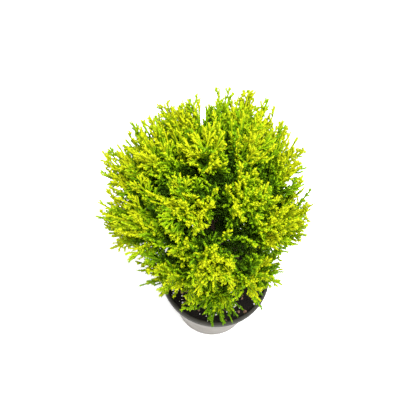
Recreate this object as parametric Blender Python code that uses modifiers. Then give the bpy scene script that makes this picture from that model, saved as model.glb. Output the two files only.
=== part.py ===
"""A golden lemon cypress in its plastic nursery pot: pot, potting mix, trunk, boughs and masses of foliage.

Metres, +Z up. The origin is the middle of the pot's flat underside, and -Y is the plant's front.
The trunk runs up through the crown. Rings of boughs leave it, each bough ends where it enters its own mass
of foliage, and each mass is one stem with a slim core that flat, toothed sprays of needles stand out of.
"""

import math
import random
from collections import namedtuple

import bmesh
import bpy
import numpy as np
from mathutils import Matrix, Vector

# The pot is a thermoformed nursery pot of 15 cm
POT_HEIGHT = 0.135
LIP_RADIUS = 0.075
LIP_DEPTH = 0.009
LIP_WIDTH = 0.0045
LIP_ROUND_INSIDE = 0.0010
LIP_ROUND_OUTSIDE = 0.0018
LIP_TAPER = 0.0004
WALL = 0.0016
FLOOR = 0.0022
FOOT_RADIUS = 0.055
FOOT_CHAMFER = 0.0015
POT_SIDES = 48
DRAIN_HOLES = 8
DRAIN_HOLE_RADIUS = 0.0045
DRAIN_RING_RADIUS = 0.041
DRAIN_SIDES = 12

# The potting mix stands a little below the lip, flat round the trunk and lower at the wall
MIX_TOP = POT_HEIGHT - 0.0095
MIX_EDGE_DROP = 0.003
MIX_FLAT_RADIUS = 0.020
MIX_SHOULDER = 0.75
GAP = 0.0003

# The trunk leans a little to the left and to the back
TRUNK_FOOT = MIX_TOP + GAP
TRUNK_TOP = 0.362
TRUNK_RADIUS = 0.0046
TRUNK_TIP_RADIUS = 0.0012
FLARE = 0.0034
FLARE_HEIGHT = 0.005
LEAN = Vector((-0.0258, 0.0152))
LEAN_BEND = 1.15
TRUNK_WAVE = 0.0014
TRUNK_TAPER_BEND = 0.9
TRUNK_POINTS = 13
TRUNK_POINTS_CLOSE_UP = 1.7
TRUNK_SIDES = 8

# The crown is an egg with its wide end up, leaning with the trunk, with two and three shallow lobes around it
CROWN_FOOT = 0.132
CROWN_TOP = 0.4225
CROWN_RADIUS = 0.1045
CROWN_WIDEST = 0.656
LOBES = ((2, -0.032, 138.0), (3, -0.044, 0.0))
SKIRT_TOP = 0.175
SKIRT_RADIUS = 0.080

# Each ring of limbs: how many; foot and tip heights, the tips being higher at the back than at the front by the
# tilt either way; reach over the crown's own radius there; first azimuth; how far along its path the bough ends
# and the stem of the foliage begins; and how many sprays it tries
Ring = namedtuple("Ring", "name count foot foot_step tip tip_step tilt reach azimuth bough_end sprays")
RINGS = (
    Ring("skirt", 4, 0.1310, 0.0018, 0.158, 0.006, 0.000, 1.40, 279, 0.0, 9),
    Ring("low", 6, 0.1450, 0.0030, 0.208, 0.010, 0.004, 0.97, 276, 0.36, 10),
    Ring("middle", 7, 0.1680, 0.0034, 0.264, 0.010, 0.008, 1.00, 223, 0.37, 11),
    Ring("wide", 7, 0.2000, 0.0042, 0.332, 0.010, 0.010, 1.05, 355, 0.38, 12),
    Ring("upper", 7, 0.2420, 0.0044, 0.374, 0.008, 0.014, 1.09, 20, 0.0, 12),
    Ring("crest", 5, 0.2950, 0.0060, 0.406, 0.005, 0.004, 1.06, 322, 0.0, 11),
)
LEADER_SPRAYS = 11
AZIMUTH_SWAY = 5.0
REACH_SWAY = (0.98, 1.05)
# A limb's bend lies this far out and up on its way from foot to tip
BEND_OUT = 0.58
BEND_UP = 0.40
BOUGH_RADIUS = 0.0024
BOUGH_END_RADIUS = 0.0013
STEM_RADIUS = 0.0011
STEM_END = 0.72
STEM_THINS = 0.4
SUNK = 0.03
LIMB_POINTS = 5
LIMB_SIDES = 6
TIP_ABOVE_CROWN = 0.003

# Sprays of needles along each stem: the first and last of them lie at these shares of its length, they close up
# towards its end, and each turns by the golden angle from the one before, give or take the sway
FIRST_SPRAY = 0.08
FIRST_SPRAY_ON_TRUNK = 0.28
LAST_SPRAY = 0.98
CLOSING_UP = 0.85
GOLDEN_ANGLE = 137.5
TURN_SWAY = 12.0
TWIST = 0.6
SPRAY_LENGTH = 0.056
SPRAY_WIDTH = 0.033
WIDER_WITH_LENGTH = 0.6
SPRAY_THICKNESS = 0.0013
SPRAY_SHRINK = 0.40
# Half of a spray's outline as shares of its width and length: a narrow root, a tooth swept forward, then the tip.
# The spray at the end of each stem is larger and has two teeth.
SIDE_SPRAY = ((0.10, 0.0), (0.30, 0.26), (0.96, 0.62), (0.38, 0.66), (0.0, 1.0))
END_SPRAY = ((0.10, 0.0), (0.30, 0.20), (1.0, 0.46), (0.40, 0.56), (0.74, 0.84), (0.22, 0.80), (0.0, 1.0))
SPRAY_SPREAD = (66.0, 38.0)
LENGTH_TRIES = (1.3, 1.15, 1.0, 0.85, 0.7, 0.58)
LENGTH_SWAY = (0.9, 1.1)
LIFT = 0.12
FACE_UP = 0.04
RIM_OF_CROWN = 1.07
# The core swells by this in the middle of its stem, but fills no more than its share of the room beside it
CORE_RADIUS = 0.0070
CORE_SHARE = 0.8
CORE_BLUNTNESS = 0.8
CORE_POINTS = 5
CORE_SIDES = 4
CLEAR = 0.0016
# How many places on each stem, bough and trunk the spaces of the masses are worked out from
STEM_SAMPLES = 18
BOUGH_SAMPLES = 14
TRUNK_SAMPLES = 60
HALVINGS = 16
SEED = 20
LIMB_SEEDS = 1000
SPRAY_SEEDS = 7919

# The foliage is deep green in the skirt and golden at the top
FOLIAGE_LOW = (0.13, 0.30, 0.02)
FOLIAGE_HIGH = (0.66, 0.68, 0.02)
BARK_BROWN = (0.20, 0.11, 0.06)
POT_GREY = (0.50, 0.47, 0.44)
MIX_BLACK = (0.016, 0.012, 0.009)
FOLIAGE_ROUGHNESS = 0.6
BARK_ROUGHNESS = 0.85
POT_ROUGHNESS = 0.5
MIX_ROUGHNESS = 0.95
WELD = 1e-7

Limb = namedtuple("Limb", "name index foot bend tip bough_end sprays")
Spray = namedtuple("Spray", "root direction side length width outline")


def material(name, colour, roughness):
    """A Principled material of one colour."""
    made = bpy.data.materials.new(name)
    made.use_nodes = True
    shader = made.node_tree.nodes["Principled BSDF"]
    shader.inputs["Base Color"].default_value = (*colour, 1.0)
    shader.inputs["Roughness"].default_value = roughness
    shader.inputs["Metallic"].default_value = 0.0
    return made


def collection(name):
    made = bpy.data.collections.new(name)
    bpy.context.scene.collection.children.link(made)
    return made


def add_mesh(name, mesh, home, finish):
    """Puts a mesh into the scene as one object with one material."""
    obj = bpy.data.objects.new(name, mesh)
    home.objects.link(obj)
    mesh.materials.clear()
    mesh.materials.append(finish)
    return obj


def mesh_of(obj):
    """The object's evaluated mesh as a new mesh in world space, its cap and seam points welded."""
    bpy.context.view_layer.update()
    evaluated = obj.evaluated_get(bpy.context.evaluated_depsgraph_get())
    made = bpy.data.meshes.new_from_object(evaluated)
    made.transform(obj.matrix_world)
    work = bmesh.new()
    work.from_mesh(made)
    bmesh.ops.remove_doubles(work, verts=work.verts, dist=WELD)
    work.to_mesh(made)
    work.free()
    return made


def crown_radius(height, azimuth):
    """The egg's radius: an ellipse below its widest level and another above it, times its lobes."""
    t = (height - CROWN_FOOT) / (CROWN_TOP - CROWN_FOOT)
    t = min(max(t, 0.0), 1.0)
    s = (CROWN_WIDEST - t) / CROWN_WIDEST if t < CROWN_WIDEST else (t - CROWN_WIDEST) / (1 - CROWN_WIDEST)
    lobes = 1 + sum(depth * math.cos(n * (azimuth - math.radians(turn))) for n, depth, turn in LOBES)
    return CROWN_RADIUS * math.sqrt(max(1 - s * s, 0.0)) * lobes


def trunk_centre(height):
    """The trunk's centreline, on up to the top of the crown: a lean and one slow wave."""
    t = max((height - TRUNK_FOOT) / (CROWN_TOP - TRUNK_FOOT), 0.0)
    lean = t**LEAN_BEND
    wave = TRUNK_WAVE * math.sin(2 * math.pi * t) * min(t * 4, 1.0)
    return Vector((LEAN.x * lean + wave, LEAN.y * lean - wave, height))


def trunk_radius(height):
    """An even taper from foot to tip, with the root flare fading away above the ground."""
    t = min(max((height - TRUNK_FOOT) / (TRUNK_TOP - TRUNK_FOOT), 0.0), 1.0)
    taper = TRUNK_TIP_RADIUS + (TRUNK_RADIUS - TRUNK_TIP_RADIUS) * (1 - t) ** TRUNK_TAPER_BEND
    return taper + FLARE * math.exp(-(height - TRUNK_FOOT) / FLARE_HEIGHT)


def trunk_heights():
    """Heights of the trunk's rings, close together in the root flare."""
    steps = [(k / (TRUNK_POINTS - 1)) ** TRUNK_POINTS_CLOSE_UP for k in range(TRUNK_POINTS)]
    return [TRUNK_FOOT + (TRUNK_TOP - TRUNK_FOOT) * step for step in steps]


def limb_point(limb, u):
    """A quadratic curve from the limb's foot on the trunk, by its bend, to the tip of its foliage."""
    return limb.foot * (1 - u) ** 2 + limb.bend * (2 * u * (1 - u)) + limb.tip * u**2


def limb_way(limb, u):
    """The curve's derivative: its direction, as long as the distance it would go in a whole unit of u."""
    return (limb.bend - limb.foot) * (2 * (1 - u)) + (limb.tip - limb.bend) * (2 * u)


def limbs():
    """Every ring's limbs and the leader, in order from the ground up."""
    found = []
    for ring in RINGS:
        for k in range(ring.count):
            rng = random.Random(SEED * LIMB_SEEDS + len(found))
            sway = rng.uniform(-AZIMUTH_SWAY, AZIMUTH_SWAY)
            azimuth = math.radians(ring.azimuth + 360.0 * k / ring.count + sway)
            order = (k * 3) % ring.count
            foot = trunk_centre(ring.foot + order * ring.foot_step)
            tip_height = ring.tip + rng.uniform(-0.5, 0.5) * ring.tip_step + ring.tilt * math.sin(azimuth)
            out = Vector((math.cos(azimuth), math.sin(azimuth), 0.0))
            reach = crown_radius(tip_height, azimuth) * ring.reach * rng.uniform(*REACH_SWAY)
            tip = trunk_centre(tip_height) + out * reach
            bend = foot + out * reach * BEND_OUT
            bend.z += (tip_height - foot.z) * BEND_UP
            name = f"{ring.name}_{k + 1}"
            found.append(Limb(name, len(found), foot, bend, tip, ring.bough_end, ring.sprays))
    top = trunk_centre(TRUNK_TOP)
    tip = trunk_centre(CROWN_TOP + TIP_ABOVE_CROWN)
    found.append(Limb("leader", len(found), top, (top + tip) / 2, tip, 0.0, LEADER_SPRAYS))
    return found


def start_beside_trunk(limb, radius):
    """The place on the limb's curve where its end face, a disc of this radius, is just clear of the bark.
    It is found by halving the stretch that holds it."""
    low, high = 0.0, 0.5
    for _ in range(HALVINGS):
        u = (low + high) / 2
        point = limb_point(limb, u)
        rise = abs(limb_way(limb, u).normalized().z)
        clear = trunk_radius(point.z) + radius * rise + GAP
        if (point - trunk_centre(point.z)).length < clear:
            low = u
        else:
            high = u
    return high


def bough_span(limb):
    """Where the bough begins, beside the trunk, and ends."""
    return start_beside_trunk(limb, BOUGH_RADIUS), limb.bough_end


def stem_span(limb):
    """Where the stem of the foliage begins and ends: past its bough's tip, above the trunk's tip, or beside it."""
    if limb.bough_end or limb.name == "leader":
        return limb.bough_end + GAP / limb_way(limb, limb.bough_end).length, STEM_END
    return start_beside_trunk(limb, STEM_RADIUS), STEM_END


def bough_radius(limb, u):
    """An even taper from the trunk to the bough's end."""
    return BOUGH_RADIUS + (BOUGH_END_RADIUS - BOUGH_RADIUS) * u / limb.bough_end


def foliage_colour(limb):
    """From deep green to gold by the height of the mass's tip."""
    t = (limb.tip.z - CROWN_FOOT) / (CROWN_TOP - CROWN_FOOT)
    return [low + (high - low) * t for low, high in zip(FOLIAGE_LOW, FOLIAGE_HIGH)]


def span_points(limb, span, count):
    """Evenly spaced places on a stretch of the limb's curve, each with its u."""
    start, end = span
    return [(u, limb_point(limb, u)) for u in (start + (end - start) * k / (count - 1) for k in range(count))]


class Space:
    """The space of each mass: nearer to its own stem than to any other, clear of wood, pot and mix."""

    def __init__(self, crown):
        self.axes = [self.axis(limb) for limb in crown]
        self.wood = [self.bough_samples(limb) for limb in crown]
        heights = np.linspace(TRUNK_FOOT, TRUNK_TOP, TRUNK_SAMPLES)
        points = np.array([trunk_centre(z) for z in heights])
        radii = np.array([trunk_radius(z) for z in heights])
        self.trunk = (points, radii)

    @staticmethod
    def axis(limb):
        whole = (stem_span(limb)[0], 1.0)
        return np.array([point for _, point in span_points(limb, whole, STEM_SAMPLES)])

    @staticmethod
    def bough_samples(limb):
        if limb.bough_end == 0.0:
            return None
        samples = span_points(limb, bough_span(limb), BOUGH_SAMPLES)
        return np.array([p for _, p in samples]), np.array([bough_radius(limb, u) for u, _ in samples])

    @staticmethod
    def distances(points, others):
        return np.linalg.norm(points[:, None, :] - others[None, :, :], axis=2)

    def room(self, points, own):
        """How far each point is from leaving the space, in metres; below zero is outside."""
        mine = self.distances(points, self.axes[own]).min(axis=1)
        room = np.full(len(points), 1.0)
        for k, axis in enumerate(self.axes):
            if k != own:
                room = np.minimum(room, (self.distances(points, axis).min(axis=1) - mine) / 2)
        for k, wood in enumerate(self.wood):
            if wood is not None and k != own:
                room = np.minimum(room, (self.distances(points, wood[0]) - wood[1]).min(axis=1))
        room = np.minimum(room, (self.distances(points, self.trunk[0]) - self.trunk[1]).min(axis=1))
        if self.wood[own] is not None:
            bough = self.wood[own]
            room = np.minimum(room, (self.distances(points, bough[0]) - bough[1]).min(axis=1) + CLEAR - GAP)
        return np.minimum(room, self.above_pot(points))

    @staticmethod
    def above_pot(points):
        """Height above the mix inside the pot, and distance from the lip beside and above it."""
        across = np.hypot(points[:, 0], points[:, 1])
        over_mix = np.where(across < LIP_RADIUS, points[:, 2] - MIX_TOP, 1.0)
        ring = LIP_RADIUS - LIP_WIDTH / 2
        beside = np.abs(across - ring) - LIP_WIDTH / 2
        above = points[:, 2] - POT_HEIGHT
        over_lip = np.where(above > 0, np.hypot(np.maximum(beside, 0), above), beside)
        return np.minimum(over_mix, over_lip)

    def holds(self, points, own):
        return bool((self.room(points, own) > CLEAR).all())


def in_crown(point):
    """True inside the egg, let out a little for tips that stand proud of it, and more in the skirt at its foot."""
    middle = trunk_centre(min(point.z, CROWN_TOP))
    across, along = point.x - middle.x, point.y - middle.y
    limit = crown_radius(point.z, math.atan2(along, across)) * RIM_OF_CROWN
    if point.z < SKIRT_TOP:
        limit = max(limit, SKIRT_RADIUS)
    return math.hypot(across, along) <= limit and point.z < CROWN_TOP + TIP_ABOVE_CROWN


def spray_side(root, direction, twist):
    """The way across a spray's flat, which faces out of the crown and up, then is twisted a little."""
    outward = root - trunk_centre(root.z) + Vector((0, 0, FACE_UP))
    side = direction.cross(outward).normalized()
    return Matrix.Rotation(twist, 3, direction) @ side


def spray_outline(spray):
    """The corners of a spray's outline, from its root up one side to the tip and back down the other."""
    half = spray.outline
    places = [(across, along) for across, along in half] + [(-across, along) for across, along in half[-2::-1]]
    across_way = spray.side * (spray.width / 2)
    along_way = spray.direction * spray.length
    return [spray.root + across_way * across + along_way * along for across, along in places]


def spray_mesh(spray):
    """A closed blade with sharp edges: the outline's face, poked up to a ridge on one side and the other."""
    work = bmesh.new()
    corners = [work.verts.new(point) for point in spray_outline(spray)]
    for way_round in (corners, corners[::-1]):
        face = work.faces.new(way_round)
        face.normal_update()
        bmesh.ops.poke(work, faces=[face], offset=SPRAY_THICKNESS, center_mode="MEAN")
    mesh = bpy.data.meshes.new("spray")
    work.to_mesh(mesh)
    work.free()
    return mesh


def sprays_of(limb, space):
    """The seeded rule: sprays leave the stem by the golden angle, long at its foot and short at its end.
    Each takes the longest of its lengths that fits its mass's space, and is skipped where none does."""
    rng = random.Random(SEED * SPRAY_SEEDS + limb.index)
    start, end = stem_span(limb)
    found = []
    turn = rng.uniform(0, 360)
    first = FIRST_SPRAY if limb.bough_end else FIRST_SPRAY_ON_TRUNK
    for k in range(limb.sprays):
        t = ((k + 0.5) / limb.sprays) ** CLOSING_UP
        u = start + (end - start) * (first + (LAST_SPRAY - first) * t)
        along = limb_way(limb, u).normalized()
        turn += GOLDEN_ANGLE + rng.uniform(-TURN_SWAY, TURN_SWAY)
        spread = math.radians(SPRAY_SPREAD[0] + (SPRAY_SPREAD[1] - SPRAY_SPREAD[0]) * t)
        across = Matrix.Rotation(math.radians(turn), 3, along) @ along.orthogonal().normalized()
        direction = along * math.cos(spread) + across * math.sin(spread) + Vector((0, 0, LIFT))
        length = SPRAY_LENGTH * (1 - SPRAY_SHRINK * t) * rng.uniform(*LENGTH_SWAY)
        twist = rng.uniform(-TWIST, TWIST)
        spray = fitted_spray(limb, space, limb_point(limb, u), direction.normalized(), length, twist)
        if spray:
            found.append(spray)
    last = limb_point(limb, end - SUNK)
    reach = limb.tip - last
    found.append(made_spray(last, reach.normalized(), reach.length, rng.uniform(-TWIST, TWIST), END_SPRAY))
    return found


def made_spray(root, direction, length, twist, outline):
    """A spray of this length, which is slimmer for its length the longer it is."""
    width = SPRAY_WIDTH * (length / SPRAY_LENGTH) ** WIDER_WITH_LENGTH
    return Spray(root, direction, spray_side(root, direction, twist), length, width, outline)


def fitted_spray(limb, space, root, direction, length, twist):
    """The longest spray of the tries whose outline stays in the crown and in its own mass's space, or none."""
    for share in LENGTH_TRIES:
        spray = made_spray(root, direction, length * share, twist, SIDE_SPRAY)
        outer = spray_outline(spray)[1:-1]
        halves = [(a + b) / 2 for a, b in zip(outer, outer[1:])]
        middle = [root + direction * (length * share * t) for t in (0.4, 0.7)]
        if in_crown(outer[len(outer) // 2]) and space.holds(np.array(outer + halves + middle), limb.index):
            return spray
    return None


def tube(name, points, radii, home, finish, sides):
    """A tapering tube as a curve with filled caps: one spline through the points, with a radius at each."""
    curve = bpy.data.curves.new(name, "CURVE")
    curve.dimensions = "3D"
    curve.bevel_depth = 1.0
    curve.bevel_resolution = (sides - 4) // 2
    curve.use_fill_caps = True
    spline = curve.splines.new("POLY")
    spline.points.add(len(points) - 1)
    for place, point, radius in zip(spline.points, points, radii):
        place.co = (*point, 1.0)
        place.radius = radius
    curve.materials.append(finish)
    obj = bpy.data.objects.new(name, curve)
    home.objects.link(obj)
    return obj


def trunk(home, finish):
    """The trunk: cut flat at the mix, upright in its first stretch so that the cut is level."""
    heights = trunk_heights()
    points = [trunk_centre(z) for z in heights]
    points[1] = Vector((points[0].x, points[0].y, heights[1]))
    return tube("trunk", points, [trunk_radius(z) for z in heights], home, finish, TRUNK_SIDES)


def bough(limb, home, finish):
    samples = span_points(limb, bough_span(limb), LIMB_POINTS)
    points = [p for _, p in samples]
    radii = [bough_radius(limb, u) for u, _ in samples]
    return tube(f"bough_{limb.name}", points, radii, home, finish, LIMB_SIDES)


def core_radii(limb, samples, space):
    """A thin stem that swells to the slim core in its middle, within the room beside it."""
    radii = []
    for k, (_, point) in enumerate(samples):
        t = k / (len(samples) - 1)
        swell = math.sin(math.pi * t) ** CORE_BLUNTNESS
        room = space.room(np.array([point]), limb.index)[0] - CLEAR
        core = min(STEM_RADIUS + CORE_RADIUS * swell, room * CORE_SHARE)
        radii.append(max(core, STEM_RADIUS * (1 - STEM_THINS * t)))
    return radii


def foliage(limb, space, home, finish):
    """One mass: its stem and core, and its sprays, joined by one Boolean union."""
    samples = span_points(limb, stem_span(limb), CORE_POINTS)
    radii = core_radii(limb, samples, space)
    stem = tube("stem", [p for _, p in samples], radii, home, finish, CORE_SIDES)
    mass = add_mesh(f"foliage_{limb.name}", mesh_of(stem), home, finish)
    bpy.data.objects.remove(stem)
    pieces = collection(f"sprays_{limb.name}")
    for spray in sprays_of(limb, space):
        add_mesh("spray", spray_mesh(spray), pieces, finish)
    join(mass, pieces)


def join(mass, pieces):
    """Unions a collection's solids into the mass, then removes them and any loose scrap or sealed hollow."""
    union = mass.modifiers.new("union", "BOOLEAN")
    union.operation = "UNION"
    union.operand_type = "COLLECTION"
    union.collection = pieces
    made = mesh_of(mass)
    mass.modifiers.clear()
    old = mass.data
    mass.data = made
    bpy.data.meshes.remove(old)
    for piece in list(pieces.objects):
        bpy.data.objects.remove(piece)
    bpy.data.collections.remove(pieces)
    keep_largest_shell(mass.data)


def keep_largest_shell(mesh):
    """Keeps the shell with the most points: the others are scraps that the union left loose or shut inside."""
    work = bmesh.new()
    work.from_mesh(mesh)
    left = set(work.verts)
    shells = []
    while left:
        todo = [left.pop()]
        shell = set(todo)
        while todo:
            for edge in todo.pop().link_edges:
                for vert in edge.verts:
                    if vert in left:
                        left.remove(vert)
                        shell.add(vert)
                        todo.append(vert)
        shells.append(shell)
    largest = max(shells, key=len)
    loose = [vert for shell in shells if shell is not largest for vert in shell]
    bmesh.ops.delete(work, geom=loose, context="VERTS")
    work.to_mesh(mesh)
    work.free()


def turned(name, profile, home, finish):
    """A profile of (radius, height) turned round the Z axis."""
    mesh = bpy.data.meshes.new(name)
    edges = [(k, k + 1) for k in range(len(profile) - 1)]
    mesh.from_pydata([(r, 0.0, z) for r, z in profile], edges, [])
    obj = add_mesh(name, mesh, home, finish)
    screw = obj.modifiers.new("turn", "SCREW")
    screw.steps = screw.render_steps = POT_SIDES
    screw.use_merge_vertices = True
    screw.merge_threshold = WELD
    return obj


def wall_radius(height):
    """The pot's outer wall: a straight taper from the foot to the underside of the lip."""
    under_lip = LIP_RADIUS - LIP_WIDTH + WALL
    return FOOT_RADIUS + (under_lip - FOOT_RADIUS) * height / (POT_HEIGHT - LIP_DEPTH)


def pot(home, cutters, finish):
    """A tapered pot with a rolled lip that stands out as a short skirt, and drain holes through its floor."""
    skirt = POT_HEIGHT - LIP_DEPTH
    mouth = LIP_RADIUS - LIP_WIDTH
    profile = [
        (0.0, FLOOR),
        (wall_radius(FLOOR) - WALL, FLOOR),
        (mouth, skirt),
        (mouth, POT_HEIGHT - LIP_ROUND_INSIDE),
        (mouth + LIP_ROUND_INSIDE, POT_HEIGHT),
        (LIP_RADIUS - LIP_ROUND_OUTSIDE, POT_HEIGHT),
        (LIP_RADIUS - LIP_TAPER, POT_HEIGHT - LIP_ROUND_OUTSIDE + LIP_TAPER),
        (LIP_RADIUS, skirt),
        (wall_radius(skirt), skirt),
        (wall_radius(FOOT_CHAMFER), FOOT_CHAMFER),
        (FOOT_RADIUS - FOOT_CHAMFER, 0.0),
        (0.0, 0.0),
    ]
    shell = turned("pot", profile, home, finish)
    for k in range(DRAIN_HOLES):
        angle = 2 * math.pi * (k + 0.5) / DRAIN_HOLES
        bpy.ops.mesh.primitive_cylinder_add(
            vertices=DRAIN_SIDES,
            radius=DRAIN_HOLE_RADIUS,
            depth=FLOOR * 4,
            location=(DRAIN_RING_RADIUS * math.cos(angle), DRAIN_RING_RADIUS * math.sin(angle), FLOOR / 2),
        )
        drill = bpy.context.object
        drill.name = f"drain_cutter_{k + 1}"
        drill.hide_render = True
        drill.display_type = "WIRE"
        for old in list(drill.users_collection):
            old.objects.unlink(drill)
        cutters.objects.link(drill)
    cut = shell.modifiers.new("drain holes", "BOOLEAN")
    cut.operation = "DIFFERENCE"
    cut.operand_type = "COLLECTION"
    cut.collection = cutters
    return shell


def potting_mix(home, finish):
    """The mix fills the pot: it follows the wall just clear of it, and its top is flat round the trunk."""
    floor = FLOOR + GAP
    skirt = POT_HEIGHT - LIP_DEPTH
    edge = MIX_TOP - MIX_EDGE_DROP

    def inner(height):
        start = wall_radius(FLOOR) - WALL
        mouth = LIP_RADIUS - LIP_WIDTH
        return start + (mouth - start) * (height - FLOOR) / (skirt - FLOOR) - GAP

    profile = [
        (0.0, MIX_TOP),
        (MIX_FLAT_RADIUS, MIX_TOP),
        (inner(edge) * MIX_SHOULDER, MIX_TOP - MIX_EDGE_DROP / 2),
        (inner(edge), edge),
        (inner(floor), floor),
        (0.0, floor),
    ]
    return turned("potting_mix", profile, home, finish)


def main():
    for old in list(bpy.data.objects):
        bpy.data.objects.remove(old)
    plant = collection("lemon_cypress")
    cutters = collection("cutters")
    pot(plant, cutters, material("pot", POT_GREY, POT_ROUGHNESS))
    potting_mix(plant, material("potting_mix", MIX_BLACK, MIX_ROUGHNESS))
    trunk(plant, material("trunk_bark", BARK_BROWN, BARK_ROUGHNESS))
    crown = limbs()
    space = Space(crown)
    for limb in crown:
        if limb.bough_end > 0.0:
            bough(limb, plant, material(f"bark_{limb.name}", BARK_BROWN, BARK_ROUGHNESS))
        foliage(limb, space, plant, material(f"needles_{limb.name}", foliage_colour(limb), FOLIAGE_ROUGHNESS))


main()
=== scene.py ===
"""A golden lemon cypress in its nursery pot, dressed for a studio picture.

The limbs and the sprays repeat the rule of the part's source: rings of limbs round a leaning trunk, and
sprays that leave each stem by the golden angle. Here every spray grows on into shoots, fingers and pairs
of needles.
Metres, +Z up, -Y is the plant's front.
"""

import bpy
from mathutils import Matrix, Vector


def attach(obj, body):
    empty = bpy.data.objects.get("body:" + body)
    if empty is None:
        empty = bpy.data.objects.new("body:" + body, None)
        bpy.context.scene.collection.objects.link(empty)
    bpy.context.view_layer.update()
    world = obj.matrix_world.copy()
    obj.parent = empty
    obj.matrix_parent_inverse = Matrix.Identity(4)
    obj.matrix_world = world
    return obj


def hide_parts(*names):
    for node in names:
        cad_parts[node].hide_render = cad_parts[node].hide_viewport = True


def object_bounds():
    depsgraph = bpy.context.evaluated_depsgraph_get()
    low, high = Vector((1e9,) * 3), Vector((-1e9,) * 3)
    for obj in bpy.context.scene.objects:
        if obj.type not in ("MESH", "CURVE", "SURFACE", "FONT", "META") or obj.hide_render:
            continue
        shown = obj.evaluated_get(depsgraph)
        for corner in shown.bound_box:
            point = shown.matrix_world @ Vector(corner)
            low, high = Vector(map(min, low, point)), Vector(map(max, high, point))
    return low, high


bl_info = {
    "name": "Lemon Cypress in a Pot",
    "version": (1, 0, 0),
    "blender": (4, 5, 0),
    "location": "View3D > Sidebar > Cypress",
    "description": "Grows a golden lemon cypress on its limbs and dresses its nursery pot",
    "category": "Object",
}

import math
import random
import string
from collections import namedtuple

import bpy
import numpy as np
from mathutils import Matrix, Vector

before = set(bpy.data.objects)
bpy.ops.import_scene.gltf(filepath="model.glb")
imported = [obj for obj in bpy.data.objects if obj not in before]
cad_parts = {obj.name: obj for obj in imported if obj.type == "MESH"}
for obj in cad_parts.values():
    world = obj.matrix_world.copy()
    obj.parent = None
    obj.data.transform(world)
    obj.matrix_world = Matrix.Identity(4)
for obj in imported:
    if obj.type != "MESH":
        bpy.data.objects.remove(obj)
CAD_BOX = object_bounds()

# The pot
POT_HEIGHT = 0.135
LIP_RADIUS = 0.075
LIP_DEPTH = 0.009
LIP_WIDTH = 0.0045
WALL = 0.0016
FLOOR = 0.0022
FOOT_RADIUS = 0.055
FOOT_ROUND = 0.0015
POT_SIDES = 160
DRAIN_HOLES = 8
DRAIN_HOLE_RADIUS = 0.0045
DRAIN_RING_RADIUS = 0.041
DRAIN_SIDES = 32

# The potting mix
MIX_TOP = POT_HEIGHT - 0.0095
MIX_EDGE_DROP = 0.003
MIX_FLAT_RADIUS = 0.020
GAP = 0.0003

# The trunk and its lean
TRUNK_FOOT = MIX_TOP + GAP
TRUNK_TOP = 0.362
TRUNK_RADIUS = 0.0046
TRUNK_TIP_RADIUS = 0.0012
TRUNK_TAPER_BEND = 0.9
FLARE = 0.0034
FLARE_HEIGHT = 0.005
LEAN = Vector((-0.0258, 0.0152))
LEAN_BEND = 1.15
TRUNK_WAVE = 0.0014

# The egg of the crown
CROWN_FOOT = 0.132
CROWN_TOP = 0.4225
CROWN_RADIUS = 0.1045
CROWN_WIDEST = 0.656
LOBES = ((2, -0.032, 138.0), (3, -0.044, 0.0))
SKIRT_TOP = 0.175
SKIRT_RADIUS = 0.080

# The rings of limbs, as in the part's source
Ring = namedtuple("Ring", "name count foot foot_step tip tip_step tilt reach azimuth bough_end sprays")
RINGS = (
    Ring("skirt", 4, 0.1310, 0.0018, 0.158, 0.006, 0.000, 1.40, 279, 0.0, 9),
    Ring("low", 6, 0.1450, 0.0030, 0.208, 0.010, 0.004, 0.97, 276, 0.36, 10),
    Ring("middle", 7, 0.1680, 0.0034, 0.264, 0.010, 0.008, 1.00, 223, 0.37, 11),
    Ring("wide", 7, 0.2000, 0.0042, 0.332, 0.010, 0.010, 1.05, 355, 0.38, 12),
    Ring("upper", 7, 0.2420, 0.0044, 0.374, 0.008, 0.014, 1.09, 20, 0.0, 12),
    Ring("crest", 5, 0.2950, 0.0060, 0.406, 0.005, 0.004, 1.06, 322, 0.0, 11),
)
LEADER_SPRAYS = 11
AZIMUTH_SWAY = 5.0
REACH_SWAY = (0.98, 1.05)
BEND_OUT = 0.58
BEND_UP = 0.40
BOUGH_RADIUS = 0.0024
BOUGH_END_RADIUS = 0.0013
STEM_RADIUS = 0.0011
STEM_TIP_RADIUS = 0.0005
STEM_END = 0.72
SUNK = 0.03
TIP_ABOVE_CROWN = 0.003
FIRST_SPRAY = 0.08
FIRST_SPRAY_ON_TRUNK = 0.28
LAST_SPRAY = 0.98
CLOSING_UP = 0.85
GOLDEN_ANGLE = 137.5
TURN_SWAY = 12.0
TWIST = 0.6
SPRAY_LENGTH = 0.056
SPRAY_WIDTH = 0.033
SPRAY_SHRINK = 0.40
WIDER_WITH_LENGTH = 0.6
SIDE_SPRAY = ((0.10, 0.0), (0.30, 0.26), (0.96, 0.62), (0.38, 0.66), (0.0, 1.0))
SPRAY_SPREAD = (66.0, 38.0)
LENGTH_TRIES = (1.3, 1.15, 1.0, 0.85, 0.7, 0.58)
LENGTH_SWAY = (0.9, 1.1)
LIFT = 0.12
FACE_UP = 0.04
RIM_OF_CROWN = 1.07
CLEAR = 0.0016
# The seed, and the numbers that give each rule its own draws from it
SEED = 20
LIMB_SEEDS = 1000
SPRAY_SEEDS = 7919
FILLING_SEEDS = 104729
INNER_SEEDS = 15485863
PIECE_SEEDS = 31
TWIG_SEED = SEED + 1
GRAIN_SEED = SEED + 7
# How finely limbs and trunk are measured where sprays are fitted, how often the search for a limb's start
# halves what is left of its curve, and the two middles of a spray
STEM_SAMPLES = 18
BOUGH_SAMPLES = 14
TRUNK_SAMPLES = 60
HALVINGS = 16
SPRAY_MIDDLES = (0.4, 0.7)
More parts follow.
